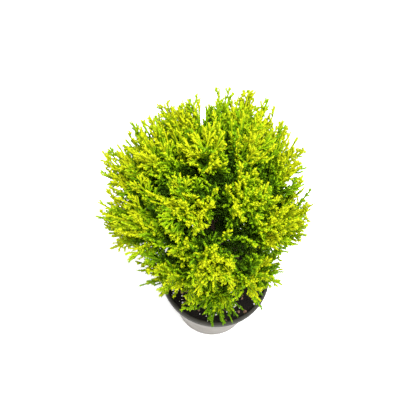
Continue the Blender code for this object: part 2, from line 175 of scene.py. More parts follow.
# Filling sprays, by ring: how many on each limb, how far round the limb's tip they spread, and how far
# above it the middle of them is
FILLING = {
    "skirt": (6, 0.032, 0.003),
    "low": (10, 0.030, 0.020),
    "middle": (19, 0.043, 0.0),
    "wide": (21, 0.046, 0.0),
    "upper": (21, 0.043, 0.0),
    "crest": (19, 0.036, 0.0),
    "leader": (18, 0.034, 0.0),
}
# Rings and limbs with slimmer, more open sprays, and their width beside the others
SLIM = {
    "skirt": 0.58,
    "low": 0.62,
    "middle_1": 0.70,
    "middle_2": 0.84,
    "middle_3": 0.66,
    "wide_1": 0.82,
    "wide_6": 0.84,
    "wide_7": 0.82,
    "upper_1": 0.88,
    "upper_7": 0.86,
}
# Limbs whose filling reaches further than the rest, or less far, and by how much
TUFTS = {
    "upper_2": 1.09,
    "upper_1": 0.99,
    "wide_1": 1.04,
    "wide_4": 1.05,
    "wide_7": 0.94,
    "middle_1": 0.94,
    "middle_2": 0.95,
    "middle_3": 0.92,
    "low_1": 0.88,
    "low_2": 0.84,
    "low_6": 0.88,
}
# Limbs whose filling stands aside from the limb's tip, over the hollow next to it, and how far
ASIDE = {"upper_7": Vector((-0.017, -0.004, 0.0))}
# Between which shares of the way to the crown's skin the filling ends, how far down the stem its roots
# stand for how far out it ends, and its width beside the first sprays
FILLING_DEPTH = (0.78, 0.99)
FILLING_ROOTS = (0.6, 1.0)
FILLING_WIDTH = 0.84
# So that the mix shows below a ring or limb: how low its filling may end, from the limb's tip up, and the Y
# in front of which that holds. The first sprays of the limbs that are named one by one keep to it too.
LOWEST = {
    "low": (0.003, 1.0),
    "middle_1": (0.000, -0.050),
    "middle_2": (-0.012, -0.060),
    "middle_3": (0.000, -0.050),
    "wide_6": (-0.006, -0.070),
    "wide_7": (-0.004, -0.060),
}
# Every so many filling sprays one is a runner: a thin shoot that ends further out
RUNNER_EVERY = 3
RUNNER_DEPTH = (1.00, 1.10)
RUNNER_WIDTH = 0.42
# Short sprays on the inner half of the limbs above the pot's lip: how many, between which shares of the
# limb, their length and how steeply they stand; and how many stand on the trunk itself, and between which
# heights
INNER_SPRAYS = 6
INNER_SPAN = (0.14, 0.62)
INNER_LENGTH = (0.030, 0.046)
INNER_SPREAD = (35.0, 70.0)
TRUNK_SPRAYS = 42
TRUNK_SPAN = (0.185, 0.380)
# The filling's and the inner sprays' twist beside the first ones, and the inner ones' lift
MORE_TWIST = 2 * TWIST
MORE_LIFT = 2 * LIFT

# How twigs leave the twig that carries them: spacing along it, the shares of its length between which they
# stand, their angle to it, how far they roll out of its flat, how their length rises and falls along it as
# shares of the carrier's width, the shortest that grows, and their own width as a share of their length
Rule = namedtuple("Rule", "spacing first last angle roll rise fall shortest width")
SHOOTS = Rule(0.0046, 0.07, 0.95, 29.0, 24.0, (0.55, 2.0), 0.62, 0.0034, 0.46)
FINGERS = Rule(0.0040, 0.14, 0.84, 31.0, 18.0, (0.80, 1.2), 0.42, 0.0034, 0.30)
FALL_POWER = 1.15
# Every third of them rolls this much more, in degrees, and is this much shorter
THIRD_ROLL = 42
THIRD_LENGTH = 0.8
# Their curl, and what is left to chance of their place, angle in degrees, length, curl and tone
TWIG_CURL = 0.20
PLACE_SWAY = 0.3
ANGLE_SWAY = 9
TWIG_SWAY = (0.8, 1.2)
TWIG_CURL_SWAY = 0.06
TWIG_TONE_SWAY = 0.07
# The first twig of each spray: its length and width beside the spray's, and its curl and tone in the same way
PLUME_LENGTH = 0.98
PLUME_WIDTH = 0.9
PLUME_CURL = 0.42
PLUME_CURL_SHARE = (0.6, 1.0)
PLUME_CURL_SWAY = 0.04
PLUME_TONE_SWAY = 0.18
# The looks of first twigs, shoots and fingers: their radius; each ring's shares of their length and of that
# radius; their sides; the share of their length that has no needles; and how much brighter their tip is
# than their root
Look = namedtuple("Look", "radius rings sides bare brighter")
LOOKS = (
    Look(0.00092, ((0.0, 1.0), (0.35, 0.95), (0.7, 0.9), (0.96, 0.9)), 5, 0.4, 0.30),
    Look(0.00088, ((0.0, 0.7), (0.5, 1.0), (0.94, 1.1)), 4, 0.2, 0.36),
    Look(0.00094, ((0.0, 0.7), (0.88, 1.15)), 3, 0.15, 0.44),
)
# What is left to chance of a pair of needles' place, of their turn and angle in degrees, and of their
# length; how many degrees closer to the twig the last pair lies; and, as shares of a needle's length, the
# place of its shoulders, the depth of its keel and the bend of its tip
PAIR_SWAY = 0.25
NEEDLE_TURN_SWAY = 16
NEEDLE_ANGLE_SWAY = 6
NEEDLE_SWAY = (0.85, 1.15)
CLOSING_ANGLE = 6.0
SHOULDERS = 0.45
KEEL = 0.06
TIP_BEND = 0.02
# About how many triangles a pair of needles and its twig take, and how many a piece may have
PAIR_TRIANGLES = 4
MOST_TRIANGLES = 190000
# Sprays curl away from this point in the middle of the crown's foot
GROWS_FROM = np.array((-0.004, 0.002, 0.150))
# The parting in the back of the crown, a wedge with its edge down: its middle's X, its half width at its
# floor, how much wider it is for each metre above the floor, and the floor's height above the origin and
# fall backwards
PARTING_X = -0.0315
PARTING_HALF = 0.0012
PARTING_FLARE = 0.06
PARTING_FLOOR = 0.460
PARTING_FALL = 1.325
# How clear twigs stay of pot and mix and of the sides of the part's box, and their reach from the crown's
# middle, as a share of the way to its skin
TWIG_ROOM = 0.0012
FURTHEST = RUNNER_DEPTH[1] + 0.03
# Fingers and needles grow only this far and further from the crown's middle, in the same shares
FINGERS_FROM = 0.10
NEEDLES_FROM = 0.42
# The tints, and the tone that chooses among them: the share of the way to the skin from which it rises and
# over how much of the way, what it is before, how much it rises at the crown's foot and how much more by
# its top, and the power of height in that
TINTS = 8
TONE_FROM = 0.48
TONE_OVER = 0.50
DEEP_TONE = 0.03
FOOT_TONE = 0.24
TOP_TONE = 0.62
TOP_POWER = 0.7
# The tints' colours between the deepest and the gold
BETWEEN_TINTS = ((0.058, 0.138, 0.002), (0.122, 0.243, 0.002), (0.208, 0.315, 0.003))
# How much of their spread the tones keep at the crown's foot; they have all of it from half its height up
CALM_FOOT = 0.5

# Bark: how many rings and sides the trunk, a bough and a stem have, their relief beside the trunk's, and
# the length that its pattern is worked out over
Bark = namedtuple("Bark", "rings sides relief length")
TRUNK_BARK = Bark(260, 36, 1.0, 0.0042)
BOUGH_BARK = Bark(60, 16, 0.5, 0.0026)
STEM_BARK = Bark(40, 10, 0.25, 0.002)
# How much closer the trunk's rings stand at its foot, how light the bark's lightest brown is beside its
# light brown, and its ramp's places
TRUNK_RINGS_CLOSE_UP = 1.2
LIGHTEST_BARK = 1.35
BARK_PLACES = (0.30, 0.52, 0.74)
# A way that no limb takes: every ring of bark starts on the way across the limb and this one
RINGS_FROM = np.array((0.31, 0.91, 0.27))

# The pot's profile: a ring on its floor, the round inside its foot, how many rings its inside and its wall
# have, how much narrower the roll is than the lip, the hem's points from the lip's lower edge, the gap from
# it to the wall, the beads' heights, their width, how far the wall lies back between them, and the rings
# under the foot
FLOOR_RING = 0.02
INNER_ROUND = 0.003
INNER_RINGS = 24
WALL_RINGS = 90
ROLL_GAP = 0.0004
HEM = ((-0.0002, 0.0016), (0.0, 0.0008), (-0.0006, 0.0))
HEM_GAP = 0.0003
BEADS = (0.118, 0.020, 0.012)
BEAD_WIDTH = 0.0011
BEAD_HEIGHT = 0.00018
FOOT_RINGS = (0.052, 0.030, 0.012, 0.0)
# Edges that turn further than this are shaded sharp
SHARP_ANGLE = math.radians(35)
# How light its outside and its lining are along their ramps of noise
WALL_STOPS = ((0.25, 0.94), (0.55, 1.0), (0.80, 1.05))
LINING_STOPS = ((0.30, 1.0), (0.75, 1.9))
# The points on its small rounds and on its lip's roll
ROUND_POINTS = 6
ROLL_POINTS = 15
# The noise in every mottled material: its detail, its roughness, and the values that most of it lies between
NOISE_DETAIL = 4.0
NOISE_ROUGHNESS = 0.55
NOISE_SPAN = (0.3, 0.7)
# Each one's scale of colour, span of roughness, scale and depth of bump, stretch and specular level. The
# depth is in metres; the scales are those of the noise, whose cells are about one metre divided by it.
Mottle = namedtuple("Mottle", "scale rough bump_scale bump_depth stretch specular")
EVEN = (1.0, 1.0, 1.0)
WALL_MOTTLE = Mottle(34.0, (0.36, 0.50), 620.0, 0.00006, (1.0, 1.0, 2.4), 0.15)
LINING_MOTTLE = Mottle(60.0, (0.50, 0.66), 900.0, 0.00008, EVEN, 0.1)
BARK_MOTTLE = Mottle(260.0, (0.72, 0.92), 900.0, 0.00025, (1.0, 1.0, 0.35), 0.3)
PEAT_MOTTLE = Mottle(700.0, (0.80, 1.0), 1500.0, 0.0006, EVEN, 0.2)
PERLITE_MOTTLE = Mottle(900.0, (0.7, 0.9), 2500.0, 0.0002, EVEN, 0.5)
CHIP_MOTTLE = Mottle(420.0, (0.7, 0.95), 1500.0, 0.0002, (1.0, 0.4, 1.0), 0.5)
CRUMB_MOTTLE = Mottle(500.0, (0.8, 1.0), 1800.0, 0.0003, EVEN, 0.2)
# The plain materials: the needles' roughness and specular level, and the floor's roughness
NEEDLE_ROUGHNESS = 0.6
NEEDLE_SPECULAR = 0.04
STAGE_ROUGHNESS = 0.8

# The mix's surface: rings and sides, how much closer the rings stand at its edge, and the depth of its
# middle, its lumps and its fine lumps
MIX_RINGS = 90
MIX_SIDES = 200
MIX_CLOSING = 0.8
MIX_MIDDLE = 0.0006
LUMPS = 0.0009
FINE_LUMPS = 0.0005
# Grains on it: rings and sides, how far from the wall they stay, the share of the mix round the trunk
# without them, how uneven they are, how they are stretched across, how far they tilt, and how high they
# stand for their size
GRAIN_RINGS = 3
GRAIN_SIDES = 6
GRAIN_ROOM = 0.0016
GRAIN_MIDDLE = 0.012
UNEVEN = 0.22
STRETCH = ((0.8, 1.3), (0.6, 1.0))
GRAIN_TILT = 0.5
GRAIN_LIFT = 0.12
# The colours of peat, perlite, chips and crumbs along their ramps of noise
PEAT_STOPS = (
    (0.30, (0.003, 0.0025, 0.002)),
    (0.55, (0.006, 0.0045, 0.0035)),
    (0.75, (0.018, 0.012, 0.008)),
)
PERLITE_STOPS = ((0.3, (0.62, 0.60, 0.55)), (0.7, (0.88, 0.87, 0.83)))
CHIP_STOPS = ((0.3, (0.060, 0.030, 0.016)), (0.7, (0.26, 0.15, 0.085)))
CRUMB_STOPS = ((0.3, (0.003, 0.0025, 0.002)), (0.7, (0.020, 0.014, 0.010)))
# Each kind of grain: its colours, its mottle, how large it is, and how flat as a share of that
Grain = namedtuple("Grain", "stops mottle size flat")
GRAINS = {
    "perlite": Grain(PERLITE_STOPS, PERLITE_MOTTLE, (0.0012, 0.0034), (0.6, 0.9)),
    "bark_chips": Grain(CHIP_STOPS, CHIP_MOTTLE, (0.0018, 0.0060), (0.18, 0.40)),
    "crumbs": Grain(CRUMB_STOPS, CRUMB_MOTTLE, (0.0008, 0.0032), (0.5, 0.9)),
}

# The stage: half the floor's side, what the lights look at, their places and sizes, and the camera's place
# and axes
HALF_FLOOR = 4.0
LIGHTS_LOOK_AT = Vector((-0.01, 0.0, 0.30))
OVERHEAD = ((0.14, -0.26, 1.50), 0.60)
SIDE_LIGHTS = {"left": ((-1.3, -0.5, 0.9), 0.8), "right": ((1.3, -0.7, 0.8), 0.8)}
CAMERA_PLACE = Vector((-0.01766, -0.24220, 0.78311))
CAMERA_RIGHT = Vector((0.99650, 0.07414, 0.03874))
CAMERA_UP = Vector((-0.08365, 0.88318, 0.46151))

Limb = namedtuple("Limb", "name ring index foot bend tip bough_end sprays")
Spray = namedtuple("Spray", "root direction side length width")
Twigs = namedtuple("Twigs", "start way side length width curl tone mass")


# The rule of the part's source


def crown_radius(height, azimuth):
    """The egg's radius: an ellipse below its widest level and another above it, times its lobes."""
    t = (height - CROWN_FOOT) / (CROWN_TOP - CROWN_FOOT)
    t = min(max(t, 0.0), 1.0)
    s = (CROWN_WIDEST - t) / CROWN_WIDEST if t < CROWN_WIDEST else (t - CROWN_WIDEST) / (1 - CROWN_WIDEST)
    lobes = 1 + sum(depth * math.cos(n * (azimuth - math.radians(turn))) for n, depth, turn in LOBES)
    return CROWN_RADIUS * math.sqrt(max(1 - s * s, 0.0)) * lobes


def trunk_centre(height):
    """The trunk's centreline, on up to the top of the crown: a lean and one slow wave."""
    t = max((height - TRUNK_FOOT) / (CROWN_TOP - TRUNK_FOOT), 0.0)
    lean = t**LEAN_BEND
    wave = TRUNK_WAVE * math.sin(2 * math.pi * t) * min(t * 4, 1.0)
    return Vector((LEAN.x * lean + wave, LEAN.y * lean - wave, height))


def trunk_radius(height):
    """An even taper from foot to tip, with the root flare fading away above the ground."""
    t = min(max((height - TRUNK_FOOT) / (TRUNK_TOP - TRUNK_FOOT), 0.0), 1.0)
    taper = TRUNK_TIP_RADIUS + (TRUNK_RADIUS - TRUNK_TIP_RADIUS) * (1 - t) ** TRUNK_TAPER_BEND
    return taper + FLARE * math.exp(-(height - TRUNK_FOOT) / FLARE_HEIGHT)


def limb_point(limb, u):
    """A quadratic curve from the limb's foot on the trunk, by its bend, to the tip of its foliage."""
    return limb.foot * (1 - u) ** 2 + limb.bend * (2 * u * (1 - u)) + limb.tip * u**2


def limb_way(limb, u):
    """The curve's derivative."""
    return (limb.bend - limb.foot) * (2 * (1 - u)) + (limb.tip - limb.bend) * (2 * u)


def limbs():
    """Every ring's limbs and the leader, in order from the ground up."""
    found = []
    for ring in RINGS:
        for k in range(ring.count):
            rng = random.Random(SEED * LIMB_SEEDS + len(found))
            sway = rng.uniform(-AZIMUTH_SWAY, AZIMUTH_SWAY)
            azimuth = math.radians(ring.azimuth + 360.0 * k / ring.count + sway)
            order = (k * 3) % ring.count
            foot = trunk_centre(ring.foot + order * ring.foot_step)
            tip_height = ring.tip + rng.uniform(-0.5, 0.5) * ring.tip_step + ring.tilt * math.sin(azimuth)
            out = Vector((math.cos(azimuth), math.sin(azimuth), 0.0))
            reach = crown_radius(tip_height, azimuth) * ring.reach * rng.uniform(*REACH_SWAY)
            tip = trunk_centre(tip_height) + out * reach
            bend = foot + out * reach * BEND_OUT
            bend.z += (tip_height - foot.z) * BEND_UP
            name = f"{ring.name}_{k + 1}"
            found.append(Limb(name, ring.name, len(found), foot, bend, tip, ring.bough_end, ring.sprays))
    top = trunk_centre(TRUNK_TOP)
    tip = trunk_centre(CROWN_TOP + TIP_ABOVE_CROWN)
    found.append(Limb("leader", "leader", len(found), top, (top + tip) / 2, tip, 0.0, LEADER_SPRAYS))
    return found


def start_beside_trunk(limb, radius):
    """The place on the limb's curve where its end face, a disc of this radius, is just clear of the bark."""
    low, high = 0.0, 0.5
    for _ in range(HALVINGS):
        u = (low + high) / 2
        point = limb_point(limb, u)
        rise = abs(limb_way(limb, u).normalized().z)
        clear = trunk_radius(point.z) + radius * rise + GAP
        if (point - trunk_centre(point.z)).length < clear:
            low = u
        else:
            high = u
    return high


def stem_start(limb):
    """Where the stem of the foliage begins: past its bough's tip, above the trunk's tip, or beside the
    trunk."""
    if limb.bough_end or limb.name == "leader":
        return limb.bough_end + GAP / limb_way(limb, limb.bough_end).length
    return start_beside_trunk(limb, STEM_RADIUS)


def limb_line(limb, places):
    """Points of the limb's curve at these places."""
    return np.array([limb_point(limb, u) for u in places])


def bough_line(limb, count):
    """Points from the bough's foot beside the trunk to its end, and its radius at each, an even taper."""
    places = np.linspace(start_beside_trunk(limb, BOUGH_RADIUS), limb.bough_end, count)
    return limb_line(limb, places), BOUGH_RADIUS + (BOUGH_END_RADIUS - BOUGH_RADIUS) * places / limb.bough_end


def trunk_line(heights):
    """The trunk's centreline at these heights, and its radius at each."""
    return np.array([trunk_centre(z) for z in heights]), np.array([trunk_radius(z) for z in heights])


def distances(points, others):
    """The distance of every point from every one of the others."""
    return np.linalg.norm(points[:, None, :] - others[None, :, :], axis=2)


class Space:
    """The space of each mass: nearer to its own stem than to any other, clear of wood, pot and mix."""

    def __init__(self, crown):
        self.axes = [limb_line(limb, np.linspace(stem_start(limb), 1, STEM_SAMPLES)) for limb in crown]
        self.wood = [(-1, *trunk_line(np.linspace(TRUNK_FOOT, TRUNK_TOP, TRUNK_SAMPLES)))]
        self.wood += [(limb.index, *bough_line(limb, BOUGH_SAMPLES)) for limb in crown if limb.bough_end]

    def holds(self, points, own):
        """True where all points are inside the space, and clear of its border."""
        mine = distances(points, self.axes[own]).min(axis=1)
        room = above_pot(points)
        for k, axis in enumerate(self.axes):
            if k != own:
                room = np.minimum(room, (distances(points, axis).min(axis=1) - mine) / 2)
        for k, centres, radii in self.wood:
            nearer = CLEAR - GAP if k == own else 0.0
            room = np.minimum(room, (distances(points, centres) - radii).min(axis=1) + nearer)
        return bool((room > CLEAR).all())


def above_pot(points):
    """Height above the mix inside the pot, and distance from the lip beside and above it."""
    across = np.hypot(points[:, 0], points[:, 1])
    over_mix = np.where(across < LIP_RADIUS, points[:, 2] - MIX_TOP, 1.0)
    ring = LIP_RADIUS - LIP_WIDTH / 2
    beside = np.abs(across - ring) - LIP_WIDTH / 2
    above = points[:, 2] - POT_HEIGHT
    over_lip = np.where(above > 0, np.hypot(np.maximum(beside, 0), above), beside)
    return np.minimum(over_mix, over_lip)


def clear_of_pot(place):
    """True where a place is clear of the mix and of the pot's lip."""
    return above_pot(np.array((place,)))[0] > CLEAR


def in_crown(point):
    """True inside the egg, let out a little for tips that stand proud of it, and more in the skirt at
    its foot."""
    middle = trunk_centre(min(point.z, CROWN_TOP))
    across, along = point.x - middle.x, point.y - middle.y
    limit = crown_radius(point.z, math.atan2(along, across)) * RIM_OF_CROWN
    if point.z < SKIRT_TOP:
        limit = max(limit, SKIRT_RADIUS)
    return math.hypot(across, along) <= limit and point.z < CROWN_TOP + TIP_ABOVE_CROWN


def made_spray(root, direction, length, twist):
    """A spray of this length, slimmer for its length the longer it is; its flat faces out of the crown
    and up."""
    width = SPRAY_WIDTH * (length / SPRAY_LENGTH) ** WIDER_WITH_LENGTH
    outward = root - trunk_centre(root.z) + Vector((0, 0, FACE_UP))
    side = Matrix.Rotation(twist, 3, direction) @ direction.cross(outward).normalized()
    return Spray(root, direction, side, length, width)


def outline_points(spray):
    """The corners of the spray's blade in the part's source, from its root up one side and down the other."""
    places = SIDE_SPRAY + tuple((-across, along) for across, along in SIDE_SPRAY[-2::-1])
    across_way = spray.side * (spray.width / 2)
    along_way = spray.direction * spray.length
    return [spray.root + across_way * across + along_way * along for across, along in places]


def fitted_spray(limb, space, root, direction, length, twist):
    """The longest spray of the tries whose outline stays in the crown and in its own mass's space, or
    none."""
    for share in LENGTH_TRIES:
        spray = made_spray(root, direction, length * share, twist)
        outer = outline_points(spray)[1:-1]
        halves = [(a + b) / 2 for a, b in zip(outer, outer[1:])]
        middle = [root + direction * (length * share * t) for t in SPRAY_MIDDLES]
        if in_crown(outer[len(outer) // 2]) and space.holds(np.array(outer + halves + middle), limb.index):
            return spray
    return None


def leaving(along, turn, spread, lift):
    """A spray's direction: at the angle of spread to the stem's, turned round it, and lifted a little."""
    across = Matrix.Rotation(turn, 3, along) @ along.orthogonal().normalized()
    return (along * math.cos(spread) + across * math.sin(spread) + Vector((0, 0, lift))).normalized()


def sprays_of(limb, space):
    """The seeded rule: sprays leave the stem by the golden angle, long at its foot and short at its end.
    Each takes the longest of its lengths that fits its mass's space, and is skipped where none does."""
    rng = random.Random(SEED * SPRAY_SEEDS + limb.index)
    start = stem_start(limb)
    found = []
    turn = rng.uniform(0, 360)
    first = FIRST_SPRAY if limb.bough_end else FIRST_SPRAY_ON_TRUNK
    for k in range(limb.sprays):
        t = ((k + 0.5) / limb.sprays) ** CLOSING_UP
        u = start + (STEM_END - start) * (first + (LAST_SPRAY - first) * t)
        turn += GOLDEN_ANGLE + rng.uniform(-TURN_SWAY, TURN_SWAY)
        spread = math.radians(SPRAY_SPREAD[0] + (SPRAY_SPREAD[1] - SPRAY_SPREAD[0]) * t)
        direction = leaving(limb_way(limb, u).normalized(), math.radians(turn), spread, LIFT)
        length = SPRAY_LENGTH * (1 - SPRAY_SHRINK * t) * rng.uniform(*LENGTH_SWAY)
        spray = fitted_spray(limb, space, limb_point(limb, u), direction, length, rng.uniform(-TWIST, TWIST))
        if spray:
            found.append(spray)
    last = limb_point(limb, STEM_END - SUNK)
    reach = limb.tip - last
    found.append(made_spray(last, reach.normalized(), reach.length, rng.uniform(-TWIST, TWIST)))
    return found


def inner_sprays(limb, fill):
    """Short sprays by the golden angle round the limb's inner half, and round the trunk for the leader,
    which close the crown's view to its middle."""
    if limb.ring in ("skirt", "low"):
        return []
    rng = random.Random(SEED * INNER_SEEDS + limb.index)
    turn = rng.uniform(0, 360)
    on_trunk = limb.ring == "leader"
    low, high = TRUNK_SPAN if on_trunk else INNER_SPAN
    count = round((TRUNK_SPRAYS if on_trunk else INNER_SPRAYS) * fill)
    found = []
    for k in range(count):
        u = low + (high - low) * (k + 0.5) / count
        root = trunk_centre(u) if on_trunk else limb_point(limb, u)
        along = Vector((0, 0, 1)) if on_trunk else limb_way(limb, u).normalized()
        turn += GOLDEN_ANGLE
        direction = leaving(along, math.radians(turn), math.radians(rng.uniform(*INNER_SPREAD)), MORE_LIFT)
        length = rng.uniform(*INNER_LENGTH)
        if clear_of_pot(root + direction * length):
            found.append(made_spray(root, direction, length, rng.uniform(-MORE_TWIST, MORE_TWIST)))
    return found


def of_limb(table, limb, otherwise):
    """The table's value for this limb, or else for its ring, or else the value for all others."""
    return table.get(limb.name, table.get(limb.ring, otherwise))


def hangs(limb, place):
    """True where a spray of this limb that ends at this place would hide the mix."""
    lowest, front = of_limb(LOWEST, limb, (-1.0, -1.0))
    return place.y < front and place.z < limb.tip.z + lowest


def towards_skin(point, share):
    """The point moved along its line from the middle of the egg, to this share of the way to the egg's
    skin."""
    middle = trunk_centre(CROWN_FOOT + CROWN_WIDEST * (CROWN_TOP - CROWN_FOOT))
    for _ in range(2):
        point = middle + (point - middle) * (share / egg_depth(np.array((point,)))[0])
    return point


def filling_sprays(limb, fill):
    """Slimmer sprays that close up the mass. Each reaches for a place on the crown's skin round the
    limb's tip, where a sunflower has its seeds: the golden angle on from the last, and as far out as the
    square root of its number. The further out its place, the further down the stem is its root."""
    rng = random.Random(SEED * FILLING_SEEDS + limb.index)
    start = stem_start(limb)
    outward = (limb.tip - Vector(GROWS_FROM)).normalized()
    east = outward.orthogonal().normalized()
    north = outward.cross(east)
    count, reach_round, raised = FILLING[limb.ring]
    count = round(count * fill)
    first = rng.uniform(0, 360)
    found = []
    for k in range(count):
        far = math.sqrt((k + 0.5) / count)
        turn = math.radians(first + GOLDEN_ANGLE * k)
        place = limb.tip + (east * math.cos(turn) + north * math.sin(turn)) * reach_round * far
        place += Vector((0, 0, raised)) + ASIDE.get(limb.name, Vector((0, 0, 0)))
        runner = k % RUNNER_EVERY == RUNNER_EVERY - 1
        share = rng.uniform(*(RUNNER_DEPTH if runner else FILLING_DEPTH)) * TUFTS.get(limb.name, 1.0)
        if limb.ring != "skirt":
            place = towards_skin(place, share)
        root = limb_point(limb, STEM_END - (STEM_END - start) * far * rng.uniform(*FILLING_ROOTS))
        reach = place - root
        spray = made_spray(root, reach.normalized(), reach.length, rng.uniform(-MORE_TWIST, MORE_TWIST))
        if clear_of_pot(place) and not hangs(limb, place):
            found.append(spray._replace(width=spray.width * (RUNNER_WIDTH if runner else FILLING_WIDTH)))
    return found


# Finer twigs and needles, as whole arrays


def unit(vectors):
    """The vectors divided by their own lengths."""
    return vectors / np.maximum(np.linalg.norm(vectors, axis=-1, keepdims=True), 1e-12)


def dot(a, b):
    """The sum of the products of the vectors' coordinates."""
    return (a * b).sum(axis=-1, keepdims=True)


def rolled(a, b, angle):
    """Two ways at right angles, turned by this angle: the first towards the second, the second on with it."""
    return a * np.cos(angle) + b * np.sin(angle), b * np.cos(angle) - a * np.sin(angle)


def turns(count):
    """Even turns round a circle."""
    return np.linspace(0, 2 * math.pi, count, endpoint=False)


def ring_round(centres, side, normal, turn, radius):
    """A ring of points round each centre: the radius times each turn's cosine to the side and sine to
    the normal."""
    around = side[:, None, :] * np.cos(turn)[:, None] + normal[:, None, :] * np.sin(turn)[:, None]
    return centres[:, None, :] + around * radius


def net(rings, sides, foot=True, inward=False):
    """Triangles over rings of points, two for each cell between a ring and the next, facing out where
    the rings rise. A fan from the point after the rings closes the first of them, if it has a foot, and
    one from the next the last."""
    k = np.arange(sides)
    nxt = (k + 1) % sides
    faces = []
    for low in np.arange(rings - 1) * sides:
        high = low + sides
        faces.append(np.stack((low + k, low + nxt, high + nxt), axis=1))
        faces.append(np.stack((low + k, high + nxt, high + k), axis=1))
    last, end = (rings - 1) * sides, rings * sides
    if foot:
        faces.append(np.stack((np.full(sides, end), nxt, k), axis=1))
        end += 1
    faces.append(np.stack((last + k, last + nxt, np.full(sides, end)), axis=1))
    faces = np.concatenate(faces)
    return faces[:, [0, 2, 1]] if inward else faces


def stacked(parts):
    """Several meshes' arrays as one, with each face list moved on by the points before it."""
    before = np.cumsum([0] + [len(points) for points, *_ in parts])
    moved = [(points, faces + start, *more) for (points, faces, *more), start in zip(parts, before)]
    return [np.concatenate(column) for column in zip(*moved)]


def places_on(twigs, index, s):
    """Points on curved twigs: the start, plus the way times how far along, plus the curl times its square."""
    far = (twigs.length[index] * s)[:, None]
    return twigs.start[index] + twigs.way[index] * far + twigs.curl[index] * far * s[:, None]


def frames_on(twigs, index, s):
    """At each place the direction along the twig, the way across its flat, and the way out of its flat."""
    along = unit(twigs.way[index] + 2 * twigs.curl[index] * s[:, None])
    side = twigs.side[index]
    side = unit(side - along * dot(side, along))
    return along, side, np.cross(along, side)


def kept(twigs, mask):
    """The twigs where the mask is true."""
    return Twigs(*(field[mask] for field in twigs))


def slots_along(lengths, spacing, first, last, jitter, rng):
    """Every place at even spacing along twigs of these lengths: the twig's index, the place's number,
    its share."""
    numbers = np.arange(int(lengths.max() / spacing) + 2)
    shares = first + (numbers[None, :] + 0.5) * spacing / lengths[:, None]
    index, number = np.nonzero(shares < last)
    s = shares[index, number] + rng.uniform(-jitter, jitter, len(index)) * spacing / lengths[index]
    return index, number, np.clip(s, 0.0, 1.0)


def off_middle(points, foot):
    """Each point's share of the way from this foot up to the crown's top, and its x and y from the
    leaning middle."""
    t = np.clip((points[:, 2] - foot) / (CROWN_TOP - foot), 0.0, 1.0)
    return t, points[:, :2] - (t**LEAN_BEND)[:, None] * np.array(LEAN)


def egg_depth(points):
    """Each point's share of the way from the crown's middle to its skin: 1 on the egg, less inside it."""
    t, across = off_middle(points, CROWN_FOOT)
    s = np.where(t < CROWN_WIDEST, (CROWN_WIDEST - t) / CROWN_WIDEST, (t - CROWN_WIDEST) / (1 - CROWN_WIDEST))
    azimuth = np.arctan2(across[:, 1], across[:, 0])
    lobes = 1 + sum(depth * np.cos(n * (azimuth - math.radians(turn))) for n, depth, turn in LOBES)
    radius = np.linalg.norm(across, axis=1) / (CROWN_RADIUS * lobes)
    return np.hypot(radius, s)


def in_parting(points):
    """True in the wedge behind the leader that parts the crown's back, above a floor that falls away
    backwards."""
    above = points[:, 2] - (PARTING_FLOOR - PARTING_FALL * points[:, 1])
    return (above > 0) & (np.abs(points[:, 0] - PARTING_X) < PARTING_HALF + PARTING_FLARE * above)


def may_grow(twigs):
    """True where a twig's middle and tip stay clear of pot, mix, trunk and parting and inside the part's
    reach."""
    low, high = (np.array(corner) for corner in CAD_BOX)
    index = np.arange(len(twigs.length))
    good = np.ones(len(index), bool)
    for s in (0.5, 1.0):
        points = places_on(twigs, index, np.full(len(index), s))
        good &= (above_pot(points) > TWIG_ROOM) & ~in_parting(points)
        good &= ((points > low + TWIG_ROOM) & (points < high - TWIG_ROOM)).all(axis=1)
        good &= (egg_depth(points) <= FURTHEST) | (points[:, 2] <= SKIRT_TOP)
        across = off_middle(points, TRUNK_FOOT)[1]
        good &= (np.hypot(*across.T) > TRUNK_RADIUS + TRUNK_WAVE) | (points[:, 2] > TRUNK_TOP)
    return good


def branched(twigs, rule, rng):
    """Side twigs. They stand at even spacing along the carrier, left and right by turns and rolled a
    little out of its flat, every third more so. Their length rises from the carrier's root, then falls
    towards its tip."""
    index, number, s = slots_along(twigs.length, rule.spacing, rule.first, rule.last, PLACE_SWAY, rng)
    along, side, normal = frames_on(twigs, index, s)
    third = number % 3 == 2
    roll = np.radians(rng.normal(0, rule.roll, len(s))) + np.where(third, math.radians(THIRD_ROLL), 0.0)
    across = rolled(side, normal, roll[:, None])[0] * np.where(number % 2 == 0, 1.0, -1.0)[:, None]
    angle = np.radians(rule.angle + rng.uniform(-ANGLE_SWAY, ANGLE_SWAY, len(s)))[:, None]
    way, flat = rolled(along, across, angle)
    rise = np.minimum(rule.rise[0] + rule.rise[1] * s, 1.0)
    length = twigs.width[index] * rise * (1 - rule.fall * s**FALL_POWER) * rng.uniform(*TWIG_SWAY, len(s))
    length *= np.where(third, THIRD_LENGTH, 1.0)
    curl = along * TWIG_CURL + rng.normal(0, TWIG_CURL_SWAY, (len(s), 3))
    curl -= way * dot(curl, way)
    tone = twigs.tone[index] + rng.normal(0, TWIG_TONE_SWAY, len(s))
    start = places_on(twigs, index, s)
    made = Twigs(start, way, flat, length, length * rule.width, curl, tone, twigs.mass[index])
    return kept(made, (length > rule.shortest) & may_grow(made))


